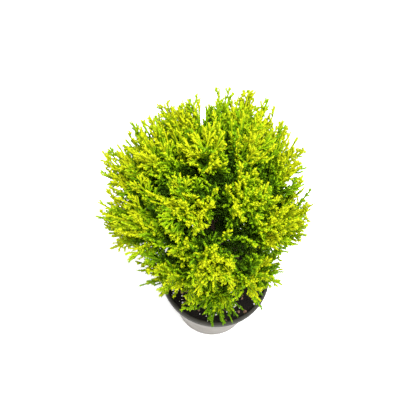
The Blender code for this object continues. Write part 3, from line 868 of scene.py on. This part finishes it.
def plumes(crown, space, fill):
    """The first twig of every spray, with its half width, its upward curl and its tone from the crown's
    skin in."""
    sprays, mass = [], []
    for limb in crown:
        named = limb.name in LOWEST
        ends = [(spray, spray.root + spray.direction * spray.length) for spray in sprays_of(limb, space)]
        shown = [spray for spray, end in ends if not (named and hangs(limb, end))]
        shown += filling_sprays(limb, fill) + inner_sprays(limb, fill)
        slim = of_limb(SLIM, limb, 1.0)
        sprays += [spray._replace(width=spray.width * slim) for spray in shown]
        mass += [limb.index] * len(shown)
    rng = np.random.default_rng(SEED)
    start, way, side, length, width = (np.array(column) for column in zip(*sprays))
    outward = unit(start + way * length[:, None] - GROWS_FROM)
    curl = outward * PLUME_CURL * rng.uniform(*PLUME_CURL_SHARE, (len(sprays), 1))
    curl += rng.normal(0, PLUME_CURL_SWAY, (len(sprays), 3))
    curl -= way * dot(curl, way)
    tone = rng.normal(0, PLUME_TONE_SWAY, len(sprays))
    made = Twigs(start, way, side, length * PLUME_LENGTH, width * PLUME_WIDTH, curl, tone, np.array(mass))
    return kept(made, may_grow(made))


def needle_mesh(twigs, needles, look, rng):
    """Pairs of needles up every twig, each pair a quarter turn on from the last, from the share of its
    length that is bare, and none deep inside the crown. A needle is a kite of two faces folded along its
    keel: its root on the twig, its two shoulders, and its tip swept forward. Their tone rises from the
    twig's root to its tip."""
    index, number, s = slots_along(twigs.length, needles.spacing, 0.0, 1.0, PAIR_SWAY, rng)
    mask = (s > look.bare) & (egg_depth(places_on(twigs, index, s)) > NEEDLES_FROM)
    index, s = np.tile(index[mask], 2), np.tile(s[mask], 2)
    turn = np.concatenate((number[mask] * 90.0, number[mask] * 90.0 + 180.0))
    count = len(s)
    along, side, normal = frames_on(twigs, index, s)
    turn = np.radians(turn + rng.uniform(-NEEDLE_TURN_SWAY, NEEDLE_TURN_SWAY, count))[:, None]
    out = rolled(side, normal, turn)[0]
    sway = rng.uniform(-NEEDLE_ANGLE_SWAY, NEEDLE_ANGLE_SWAY, count)
    lean = np.radians(needles.angle - CLOSING_ANGLE * s**3 + sway)[:, None]
    way, back = rolled(along, out, lean)
    far = (needles.length * rng.uniform(*NEEDLE_SWAY, count))[:, None]
    root = places_on(twigs, index, s) + out * needles.inset
    middle = root + way * far * SHOULDERS - back * far * KEEL
    half = np.cross(along, out) * (needles.width / 2)
    tip = root + way * far + out * far * TIP_BEND
    points = np.stack((root, middle + half, middle - half, tip), axis=1).reshape(-1, 3)
    first = np.arange(count)[:, None] * 4
    faces = np.concatenate((first + [0, 1, 3], first + [0, 3, 2]), axis=1).reshape(-1, 3)
    return points, faces, np.repeat(twigs.tone[index] + look.brighter * (s - 0.5), 2)


def twig_mesh(twigs, look):
    """Round twigs: a ring of points carried along each twig's curve at the given shares of its length,
    each with its own share of the radius, closing to a point at the tip. Their tone rises from root to
    tip."""
    count = len(twigs.length)
    every = np.arange(count)
    rings = []
    for share, thick in look.rings:
        s = np.full(count, share)
        _, side, normal = frames_on(twigs, every, s)
        middles = places_on(twigs, every, s)
        rings.append(ring_round(middles, side, normal, turns(look.sides), look.radius * thick))
    tip = places_on(twigs, every, np.ones(count))[:, None, :]
    points = np.concatenate(rings + [tip], axis=1)
    pattern = net(len(rings), look.sides, foot=False)
    faces = (every[:, None, None] * points.shape[1] + pattern[None]).reshape(-1, 3)
    middles = [(low + high) / 2 for (low, _), (high, _) in zip(look.rings, look.rings[1:])]
    far = np.repeat(middles + [1.0], [2 * look.sides] * len(middles) + [look.sides])
    shade = twigs.tone[:, None] + look.brighter * (far - 0.5)[None, :]
    return points.reshape(-1, 3), faces, shade.ravel()


def mesh_from(name, points, faces, slot_of_face=None, smooth=True):
    """A mesh straight from arrays of points and triangles."""
    mesh = bpy.data.meshes.new(name)
    mesh.vertices.add(len(points))
    mesh.vertices.foreach_set("co", np.ascontiguousarray(points, np.float32).ravel())
    mesh.loops.add(len(faces) * 3)
    mesh.loops.foreach_set("vertex_index", np.ascontiguousarray(faces, np.int32).ravel())
    mesh.polygons.add(len(faces))
    mesh.polygons.foreach_set("loop_start", np.arange(0, len(faces) * 3, 3, dtype=np.int32))
    if slot_of_face is not None:
        mesh.polygons.foreach_set("material_index", np.ascontiguousarray(slot_of_face, np.int32))
    mesh.polygons.foreach_set("use_smooth", np.full(len(faces), smooth))
    mesh.update()
    mesh.validate()
    return mesh


def linked(name, data):
    """A new object with this data, in the scene."""
    obj = bpy.data.objects.new(name, data)
    bpy.context.scene.collection.objects.link(obj)
    return obj


def piece(name, points, faces, materials, nodes, slot_of_face=None, smooth=True):
    """One shown piece: it rides on the part's body, takes its finishes in its material slots and hides these
    nodes of the part."""
    obj = linked(name, mesh_from(name, points, faces, slot_of_face, smooth))
    for material in materials:
        obj.data.materials.append(material)
    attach(obj, "root")
    if nodes:
        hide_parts(*nodes)
    return obj


# Materials


def plain(name, colour, roughness, specular=0.5):
    """A Principled material of one base colour."""
    made = bpy.data.materials.new(name)
    made.use_nodes = True
    shader = made.node_tree.nodes["Principled BSDF"]
    shader.inputs["Base Color"].default_value = (*colour, 1.0)
    shader.inputs["Roughness"].default_value = roughness
    shader.inputs["Specular IOR Level"].default_value = specular
    return made


def fed(tree, made, inputs):
    """The node's outputs, once its inputs are set to these values or linked to these outputs of others."""
    for name, value in inputs.items():
        if isinstance(value, bpy.types.NodeSocket):
            tree.links.new(value, made.inputs[name])
        else:
            made.inputs[name].default_value = value
    return made.outputs


def mottled(name, stops, mottle):
    """Colour from a ramp over noise, roughness from the same noise, and a finer noise as bump. Both
    noises read Object coordinates, stretched by a Mapping node."""
    made = plain(name, stops[0][1], mottle.rough[0], mottle.specular)
    tree = made.node_tree
    new = tree.nodes.new
    place = fed(tree, new("ShaderNodeTexCoord"), {})["Object"]
    place = fed(tree, new("ShaderNodeMapping"), {"Vector": place, "Scale": mottle.stretch})["Vector"]
    noise = {"Vector": place, "Detail": NOISE_DETAIL, "Roughness": NOISE_ROUGHNESS}
    cloud = fed(tree, new("ShaderNodeTexNoise"), {**noise, "Scale": mottle.scale})["Fac"]
    grain = fed(tree, new("ShaderNodeTexNoise"), {**noise, "Scale": mottle.bump_scale})["Fac"]
    ramp = new("ShaderNodeValToRGB")
    elements = ramp.color_ramp.elements
    while len(elements) < len(stops):
        elements.new(0.5)
    for element, (position, colour) in zip(elements, stops):
        element.position = position
        element.color = (*colour, 1.0)
    spans = (*NOISE_SPAN, *mottle.rough)
    known = dict(zip(("From Min", "From Max", "To Min", "To Max"), spans))
    bump = {"Height": grain, "Distance": mottle.bump_depth, "Strength": 1.0}
    inputs = {
        "Base Color": fed(tree, ramp, {"Fac": cloud})["Color"],
        "Roughness": fed(tree, new("ShaderNodeMapRange"), {"Value": cloud, **known})["Result"],
        "Normal": fed(tree, new("ShaderNodeBump"), bump)["Normal"],
    }
    fed(tree, tree.nodes["Principled BSDF"], inputs)
    return made


# Sizes and colours that a user would change


def length_property(name, description, default):
    """A length in metres that a user may change."""
    return bpy.props.FloatProperty(
        name=name, description=description, default=default, min=0.0, unit="LENGTH", precision=5
    )


def colour_property(name, description, default):
    """A colour that a user may change."""
    return bpy.props.FloatVectorProperty(
        name=name, description=description, default=default, size=3, min=0.0, max=1.0, subtype="COLOR"
    )


class CypressFoliage(bpy.types.PropertyGroup):
    length: length_property("Needle length", "Length of one needle", 0.0016)
    width: length_property("Needle width", "Width of one needle at its shoulders", 0.0012)
    inset: length_property("Needle root", "Distance of a needle's root from the middle of its twig", 0.00060)
    spacing: length_property("Pair spacing", "Distance from one pair of needles to the next", 0.0018)
    angle: bpy.props.FloatProperty(
        name="Needle angle", description="Angle of a needle to its twig, in degrees", default=33.0
    )
    fill: bpy.props.FloatProperty(
        name="Filling", description="How many of the filling sprays grow", default=1.0
    )
    deep: colour_property("Deep", "The darkest green, inside the crown", (0.026, 0.062, 0.003))
    gold: colour_property("Gold", "The brightest gold, at the tips", (0.325, 0.365, 0.004))


class CypressWood(bpy.types.PropertyGroup):
    relief: length_property("Bark relief", "Depth of the bark's ridges on the trunk", 0.00035)
    bark: colour_property("Bark", "The bark's light brown", (0.075, 0.046, 0.028))
    furrow: colour_property("Furrow", "The bark's dark brown", (0.026, 0.014, 0.008))


class CypressPot(bpy.types.PropertyGroup):
    outside: colour_property("Outside", "The pot's warm grey outside", (0.118, 0.103, 0.082))
    lining: colour_property("Lining", "The black of the lip and the inside", (0.022, 0.021, 0.017))
    perlite: bpy.props.IntProperty(name="Perlite", description="White grains on the mix", default=150, min=0)
    chips: bpy.props.IntProperty(name="Bark chips", description="Brown chips on the mix", default=90, min=0)
    crumbs: bpy.props.IntProperty(name="Crumbs", description="Dark crumbs on the mix", default=1500, min=0)


class CypressStage(bpy.types.PropertyGroup):
    lens: bpy.props.FloatProperty(name="Lens", description="Focal length, in millimetres", default=43.269)
    floor: colour_property("Floor", "The pale floor", (0.95, 0.95, 0.95))
    key: bpy.props.FloatProperty(name="Overhead light", description="Its power in watts", default=40.0)
    fill: bpy.props.FloatProperty(name="Side lights", description="Their power in watts", default=5.0)
    world: bpy.props.FloatProperty(
        name="Surroundings", description="Strength of the white around", default=1.0
    )


def needle_tints(foliage):
    """Base colours in even steps from deep green over green and lime to gold."""
    stops = (tuple(foliage.deep), *BETWEEN_TINTS, tuple(foliage.gold))
    places = np.linspace(0, 1, TINTS)
    known = np.linspace(0, 1, len(stops))
    channels = [np.interp(places, known, channel) for channel in zip(*stops)]
    return [tuple(float(value) for value in colour) for colour in zip(*channels)]


def tint_slots(points, shade):
    """The tint of each face: from deep green inside the crown to gold on its skin and towards its top."""
    depth = np.clip((egg_depth(points) - TONE_FROM) / TONE_OVER, 0, 1)
    depth = depth * depth * (3 - 2 * depth)
    height = np.clip((points[:, 2] - CROWN_FOOT) / (CROWN_TOP - CROWN_FOOT), 0, 1)
    calm = CALM_FOOT + (1 - CALM_FOOT) * np.minimum(height * 2, 1)
    tone = DEEP_TONE + depth * (FOOT_TONE + TOP_TONE * height**TOP_POWER) + shade * calm
    return np.clip((tone * TINTS).astype(int), 0, TINTS - 1)


class CYPRESS_OT_foliage(bpy.types.Operator):
    """Grows shoots, fingers and needles on every spray of every mass"""

    bl_idname = "cypress.foliage"
    bl_label = "Foliage"

    def execute(self, context):
        foliage = context.scene.cypress_foliage
        crown = limbs()
        rng = np.random.default_rng(TWIG_SEED)
        first = plumes(crown, Space(crown), foliage.fill)
        shoots = branched(first, SHOOTS, rng)
        fingers = branched(shoots, FINGERS, rng)
        fingers = kept(fingers, egg_depth(fingers.start) > FINGERS_FROM)
        levels = tuple(zip((first, shoots, fingers), LOOKS))
        colours = needle_tints(foliage)
        look = (NEEDLE_ROUGHNESS, NEEDLE_SPECULAR)
        tints = [plain(f"needles_tint_{k + 1}", colour, *look) for k, colour in enumerate(colours)]
        for ring in FILLING:
            members = [limb for limb in crown if limb.ring == ring]
            for letter, group in zip(string.ascii_lowercase, self.groups(members, levels, foliage)):
                self.grow(f"{ring}_{letter}", group, levels, foliage, tints)
        return {"FINISHED"}

    @staticmethod
    def groups(members, levels, foliage):
        """Neighbouring masses together, as many as stay under the limit of triangles for one piece."""
        found, size = [[]], 0
        for limb in members:
            reach = sum(twigs.length[twigs.mass == limb.index].sum() for twigs, _ in levels)
            cost = reach / foliage.spacing * PAIR_TRIANGLES
            if found[-1] and size + cost > MOST_TRIANGLES:
                found.append([])
                size = 0
            found[-1].append(limb)
            size += cost
        return found

    @staticmethod
    def grow(name, group, levels, foliage, tints):
        """The needles of one group of masses as one piece, and its twigs as another."""
        own = [limb.index for limb in group]
        nodes = [f"foliage_{limb.name}" for limb in group]
        rng = np.random.default_rng(SEED + own[0] * PIECE_SEEDS)
        parts = {"needles": [], "twigs": []}
        for twigs, look in levels:
            mine = kept(twigs, np.isin(twigs.mass, own))
            parts["needles"].append(needle_mesh(mine, foliage, look, rng))
            parts["twigs"].append(twig_mesh(mine, look))
        for kind, meshes in parts.items():
            points, faces, shade = stacked(meshes)
            slots = tint_slots(points[faces].mean(axis=1), shade)
            piece(f"{kind}_{name}", points, faces, tints, nodes, slots)


def bark_tube(points, radii, bark, relief):
    """A limb with bark: circles carried along a path of close points. The radius varies by long ridges,
    which are sines of the azimuth bent by slower sines of the distance along, and by fine scales; both
    ends are closed."""
    radii = radii[:, None]
    along = unit(np.gradient(points, axis=0))
    side = unit(np.cross(along, RINGS_FROM))
    turn = turns(bark.sides)
    steps = np.linalg.norm(np.diff(points, axis=0), axis=1)
    far = np.concatenate(([0.0], np.cumsum(steps)))[:, None] / bark.length
    bent = turn + 0.5 * np.sin(far * 0.9) + 0.25 * np.sin(far * 2.3 + 2 * turn)
    ridges = np.sin(5 * bent + 0.8 * np.sin(far * 1.7)) * 0.5 + np.sin(9 * bent - far * 1.1) * 0.3
    scales = np.sin(13 * turn + far * 5.1) * np.sin(far * 9.7 + 3 * np.sin(3 * turn)) * 0.35
    radius = radii + relief * bark.relief * radii / radii.max() * (ridges + scales - 0.9)
    rings = ring_round(points, side, np.cross(along, side), turn, radius[..., None]).reshape(-1, 3)
    return np.concatenate((rings, points[[0, -1]])), net(bark.rings, bark.sides)


class CYPRESS_OT_wood(bpy.types.Operator):
    """Gives the trunk, the boughs and the stems inside the foliage their bark"""

    bl_idname = "cypress.wood"
    bl_label = "Wood"

    def execute(self, context):
        wood = context.scene.cypress_wood
        crown = limbs()
        shares = np.linspace(0, 1, TRUNK_BARK.rings) ** TRUNK_RINGS_CLOSE_UP
        heights = TRUNK_FOOT + (TRUNK_TOP - TRUNK_FOOT) * shares
        parts = {"trunk_bark": [("trunk", bark_tube(*trunk_line(heights), TRUNK_BARK, wood.relief))]}
        for limb in crown:
            if limb.bough_end:
                tube = bark_tube(*bough_line(limb, BOUGH_BARK.rings), BOUGH_BARK, wood.relief)
                parts.setdefault(f"boughs_{limb.ring}", []).append((f"bough_{limb.name}", tube))
        parts["stems"] = []
        for limb in crown:
            line = limb_line(limb, np.linspace(stem_start(limb), STEM_END, STEM_BARK.rings))
            radii = np.linspace(STEM_RADIUS, STEM_TIP_RADIUS, STEM_BARK.rings)
            parts["stems"].append((f"foliage_{limb.name}", bark_tube(line, radii, STEM_BARK, wood.relief)))
        lightest = tuple(c * LIGHTEST_BARK for c in wood.bark)
        stops = tuple(zip(BARK_PLACES, (tuple(wood.furrow), tuple(wood.bark), lightest)))
        bark = mottled("bark", stops, BARK_MOTTLE)
        for name, tubes in parts.items():
            points, faces = stacked([tube for _, tube in tubes])
            piece(name, points, faces, [bark], [node for node, _ in tubes])
        return {"FINISHED"}


def wall_radius(height):
    """The pot's outer wall: a straight taper from the foot to the underside of the lip."""
    under_lip = LIP_RADIUS - LIP_WIDTH + WALL
    return FOOT_RADIUS + (under_lip - FOOT_RADIUS) * height / (POT_HEIGHT - LIP_DEPTH)


def inner_radius(height):
    """The pot's inner wall, from the floor up to the mouth."""
    start = wall_radius(FLOOR) - WALL
    mouth = LIP_RADIUS - LIP_WIDTH
    skirt = POT_HEIGHT - LIP_DEPTH
    return start + (mouth - start) * np.clip((height - FLOOR) / (skirt - FLOOR), 0, 1)


def arc(centre, radius, start, end, count):
    """Points on part of a circle in the profile's plane, in degrees."""
    turn = np.radians(np.linspace(start, end, count))
    return np.stack((centre[0] + radius * np.cos(turn), centre[1] + radius * np.sin(turn)), axis=1)


def lathe(radii, heights, sides, poles, inward=True):
    """Rings of points round the Z axis, closed to a point on it at both ends. Heights are one for each
    ring, in a column, or one for each point. Faces look out where the rings go down, or, if they aren't
    inward, where the rings go up."""
    turn = turns(sides)
    radii = radii[:, None]
    rings = np.stack(np.broadcast_arrays(radii * np.cos(turn), radii * np.sin(turn), heights), axis=2)
    ends = [(0.0, 0.0, height) for height in poles]
    return np.concatenate((rings.reshape(-1, 3), ends)), net(len(radii), sides, inward=inward)


def pot_profile():
    """From the floor's middle up the inside, over the rolled lip, down the outside and under to the middle.
    Returned with how many of its points belong to the black lining and lip."""
    skirt = POT_HEIGHT - LIP_DEPTH
    mouth = LIP_RADIUS - LIP_WIDTH
    heights = np.linspace(FLOOR + INNER_ROUND, skirt, INNER_RINGS)
    corner = arc((inner_radius(FLOOR) - INNER_ROUND, FLOOR + INNER_ROUND), INNER_ROUND, -90, 0, ROUND_POINTS)
    inside = np.stack((inner_radius(heights), heights), axis=1)
    roll = (LIP_WIDTH - ROLL_GAP) / 2
    top = arc((mouth + roll, POT_HEIGHT - roll), roll, 180, 0, ROLL_POINTS)
    hem = np.array(HEM) + (LIP_RADIUS, skirt)
    under = np.array(((wall_radius(skirt) + HEM_GAP, skirt),))
    black = [np.array(((0.0, FLOOR), (FLOOR_RING, FLOOR))), corner, inside[1:], top, hem, under]
    heights = np.linspace(skirt, FOOT_ROUND, WALL_RINGS)
    swell = sum(np.exp(-(((heights - place) / BEAD_WIDTH) ** 2)) for place in BEADS)
    radii = wall_radius(heights) - BEAD_HEIGHT * (1 - swell)
    foot = arc((wall_radius(FOOT_ROUND) - FOOT_ROUND, FOOT_ROUND), FOOT_ROUND, 0, -90, ROUND_POINTS)
    below = np.array([(radius, 0.0) for radius in FOOT_RINGS])
    lining = sum(len(part) for part in black)
    return np.concatenate(black + [np.stack((radii, heights), axis=1)[1:], foot[1:], below]), lining


def lit(colour, stops):
    """A ramp's stops of one colour, each with its own share of light."""
    return [(place, tuple(min(c * light, 1.0) for c in colour)) for place, light in stops]


class CYPRESS_OT_pot(bpy.types.Operator):
    """Turns the nursery pot, grey outside and black inside, and drills its floor"""

    bl_idname = "cypress.pot"
    bl_label = "Pot"

    def execute(self, context):
        pot = context.scene.cypress_pot
        profile, lining = pot_profile()
        points, faces = lathe(profile[1:-1, 0], profile[1:-1, 1:], POT_SIDES, profile[[0, -1], 1])
        black_rows = faces[:, 0] < (lining - 1) * POT_SIDES
        slots = np.where(black_rows | (faces.max(axis=1) == len(points) - 2), 1, 0)
        outside = mottled("pot_grey", lit(pot.outside, WALL_STOPS), WALL_MOTTLE)
        black = mottled("pot_black", lit(pot.lining, LINING_STOPS), LINING_MOTTLE)
        shell = piece("pot_shell", points, faces, [outside, black], ["pot"], slots)
        shell.data.set_sharp_from_angle(angle=SHARP_ANGLE)
        self.drill(shell)
        return {"FINISHED"}

    @staticmethod
    def drill(shell):
        """Cuts the drain holes with one Boolean on cylinders worked out as arrays, then applies it."""
        heights = np.array((-FLOOR, FLOOR * 2))
        radii = np.full(2, DRAIN_HOLE_RADIUS)
        points, faces = lathe(radii, heights[:, None], DRAIN_SIDES, heights, inward=False)
        turn = turns(DRAIN_HOLES) + math.pi / DRAIN_HOLES
        middles = np.stack((np.cos(turn), np.sin(turn), np.zeros(DRAIN_HOLES)), axis=1) * DRAIN_RING_RADIUS
        points, faces = stacked([(points + middle, faces) for middle in middles])
        drills = linked("drills", mesh_from("drills", points, faces, smooth=False))
        cut = shell.modifiers.new("drain holes", "BOOLEAN")
        cut.operation = "DIFFERENCE"
        cut.solver = "EXACT"
        cut.object = drills
        bpy.context.view_layer.update()
        evaluated = shell.evaluated_get(bpy.context.evaluated_depsgraph_get())
        drilled = bpy.data.meshes.new_from_object(evaluated)
        shell.modifiers.clear()
        shell.data = drilled
        bpy.data.objects.remove(drills)


def mix_height(radius, turn):
    """The mix's top: flat round the trunk, lower at the wall, and lumpy by sums of sines in x and y."""
    edge = inner_radius(MIX_TOP) - GAP
    slope = np.clip((radius - MIX_FLAT_RADIUS) / (edge - MIX_FLAT_RADIUS), 0, 1)
    x, y = radius * np.cos(turn) * 1000, radius * np.sin(turn) * 1000
    lumps = np.sin(x * 0.31 + 1.7 * np.sin(y * 0.13)) * np.sin(y * 0.37 + 1.3 * np.sin(x * 0.17))
    fine = np.sin(x * 1.3 + 2 * np.sin(y * 0.7)) * np.sin(y * 1.1 + 2 * np.sin(x * 0.9))
    return MIX_TOP - MIX_EDGE_DROP * slope - LUMPS * (0.5 - 0.5 * lumps) - FINE_LUMPS * (0.5 - 0.5 * fine)


def grains(count, size, flat, reach, rng):
    """Grains lying on the mix: spheres on a grid of longitude and latitude, each point pushed in or out at
    random. Each grain is then stretched unevenly, tilted a little and turned round the Z axis."""
    size = rng.uniform(*size, count)
    radius = reach * np.sqrt(rng.uniform(GRAIN_MIDDLE, 1.0, count))
    turn = rng.uniform(0, 2 * math.pi, count)
    centre = np.stack((radius * np.cos(turn), radius * np.sin(turn), mix_height(radius, turn)), axis=1)
    latitude = np.linspace(-math.pi / 2, math.pi / 2, GRAIN_RINGS + 2)[1:-1]
    ball, pattern = lathe(np.cos(latitude), np.sin(latitude)[:, None], GRAIN_SIDES, (-1.0, 1.0), inward=False)
    rough = 1 + rng.uniform(-UNEVEN, UNEVEN, (count, len(ball), 1))
    stretch = np.stack([rng.uniform(*span, count) for span in (*STRETCH, flat)], axis=1)
    shape = ball[None] * rough * stretch[:, None, :] * size[:, None, None] / 2
    spin = rng.uniform(0, 2 * math.pi, count)[:, None]
    tilt = rng.normal(0, GRAIN_TILT, count)[:, None]
    x, z = rolled(shape[..., 0], shape[..., 2], tilt)
    x, y = rolled(x, shape[..., 1], -spin)
    points = np.stack((x, y, z), axis=2) + centre[:, None, :]
    points[..., 2] += (size * GRAIN_LIFT)[:, None]
    whole = (np.arange(count)[:, None, None] * len(ball) + pattern[None]).reshape(-1, 3)
    return points.reshape(-1, 3), whole


class CYPRESS_OT_potting_mix(bpy.types.Operator):
    """Fills the pot with dark mix, and strews perlite, bark chips and crumbs on it"""

    bl_idname = "cypress.potting_mix"
    bl_label = "Potting mix"

    def execute(self, context):
        pot = context.scene.cypress_pot
        edge = inner_radius(MIX_TOP - MIX_EDGE_DROP) - GAP
        floor = FLOOR + GAP
        radii = np.linspace(0.0, 1.0, MIX_RINGS)[1:] ** MIX_CLOSING * edge
        top = mix_height(radii[:, None], turns(MIX_SIDES))
        radii = np.append(radii, inner_radius(floor) - GAP)
        heights = np.concatenate((top, np.full((1, MIX_SIDES), floor)))
        points, faces = lathe(radii, heights, MIX_SIDES, (MIX_TOP - MIX_MIDDLE, floor))
        peat = mottled("peat", PEAT_STOPS, PEAT_MOTTLE)
        piece("mix", points, faces, [peat], ["potting_mix"])
        rng = np.random.default_rng(GRAIN_SEED)
        for (name, grain), count in zip(GRAINS.items(), (pot.perlite, pot.chips, pot.crumbs)):
            finish = mottled(name, grain.stops, grain.mottle)
            points, faces = grains(count, grain.size, grain.flat, edge - GRAIN_ROOM, rng)
            piece(name, points, faces, [finish], [], smooth=name == "perlite")
        return {"FINISHED"}


def area_light(name, place, size, power):
    """A square area light that looks at the middle of the plant."""
    data = bpy.data.lights.new(name, "AREA")
    data.size = size
    data.energy = power
    obj = linked(name, data)
    obj.location = place
    obj.rotation_mode = "QUATERNION"
    obj.rotation_quaternion = (LIGHTS_LOOK_AT - Vector(place)).to_track_quat("-Z", "Y")


class CYPRESS_OT_stage(bpy.types.Operator):
    """Lays the pale floor and sets the soft lights and the camera"""

    bl_idname = "cypress.stage"
    bl_label = "Stage"

    def execute(self, context):
        stage = context.scene.cypress_stage
        corners = HALF_FLOOR * np.array(((-1, -1, 0), (1, -1, 0), (1, 1, 0), (-1, 1, 0)), float)
        floor = linked("floor", mesh_from("floor", corners, np.array(((0, 1, 2), (0, 2, 3))), smooth=False))
        floor.data.materials.append(plain("floor", tuple(stage.floor), STAGE_ROUGHNESS))
        world = bpy.data.worlds.new("studio")
        world.use_nodes = True
        world.node_tree.nodes["Background"].inputs["Color"].default_value = (1.0, 1.0, 1.0, 1.0)
        world.node_tree.nodes["Background"].inputs["Strength"].default_value = stage.world
        context.scene.world = world
        area_light("overhead", *OVERHEAD, stage.key)
        for name, (place, size) in SIDE_LIGHTS.items():
            area_light(name, place, size, stage.fill)
        data = bpy.data.cameras.new("camera")
        data.lens = stage.lens
        camera = linked("camera", data)
        back = CAMERA_RIGHT.cross(CAMERA_UP).normalized()
        turn = Matrix((CAMERA_RIGHT, back.cross(CAMERA_RIGHT), back)).transposed()
        camera.matrix_world = Matrix.Translation(CAMERA_PLACE) @ turn.to_4x4()
        context.scene.camera = camera
        context.scene.view_settings.view_transform = "Standard"
        return {"FINISHED"}


GROUPS = (
    ("cypress_wood", CypressWood, ("cypress.wood",)),
    ("cypress_foliage", CypressFoliage, ("cypress.foliage",)),
    ("cypress_pot", CypressPot, ("cypress.pot", "cypress.potting_mix")),
    ("cypress_stage", CypressStage, ("cypress.stage",)),
)


class CYPRESS_PT_panel(bpy.types.Panel):
    """The cypress's pieces and their sizes and colours"""

    bl_idname = "CYPRESS_PT_panel"
    bl_label = "Lemon cypress"
    bl_space_type = "VIEW_3D"
    bl_region_type = "UI"
    bl_category = "Cypress"

    def draw(self, context):
        for name, _, operators in GROUPS:
            group = getattr(context.scene, name)
            box = self.layout.box()
            for value in group.bl_rna.properties.keys():
                if value not in ("rna_type", "name"):
                    box.prop(group, value)
            for operator in operators:
                box.operator(operator)


CLASSES = (
    CYPRESS_OT_foliage,
    CYPRESS_OT_wood,
    CYPRESS_OT_pot,
    CYPRESS_OT_potting_mix,
    CYPRESS_OT_stage,
    CYPRESS_PT_panel,
)


def register():
    """Makes the groups of values, the operators and the panel known to Blender."""
    for name, group, _ in GROUPS:
        bpy.utils.register_class(group)
        setattr(bpy.types.Scene, name, bpy.props.PointerProperty(type=group))
    for cls in CLASSES:
        bpy.utils.register_class(cls)


def unregister():
    """Takes them back in the opposite order."""
    for cls in reversed(CLASSES):
        bpy.utils.unregister_class(cls)
    for name, group, _ in reversed(GROUPS):
        delattr(bpy.types.Scene, name)
        bpy.utils.unregister_class(group)


def main():
    """Registers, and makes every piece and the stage."""
    register()
    bpy.ops.cypress.pot()
    bpy.ops.cypress.potting_mix()
    bpy.ops.cypress.wood()
    bpy.ops.cypress.foliage()
    bpy.ops.cypress.stage()


if __name__ == "__main__":
    main()
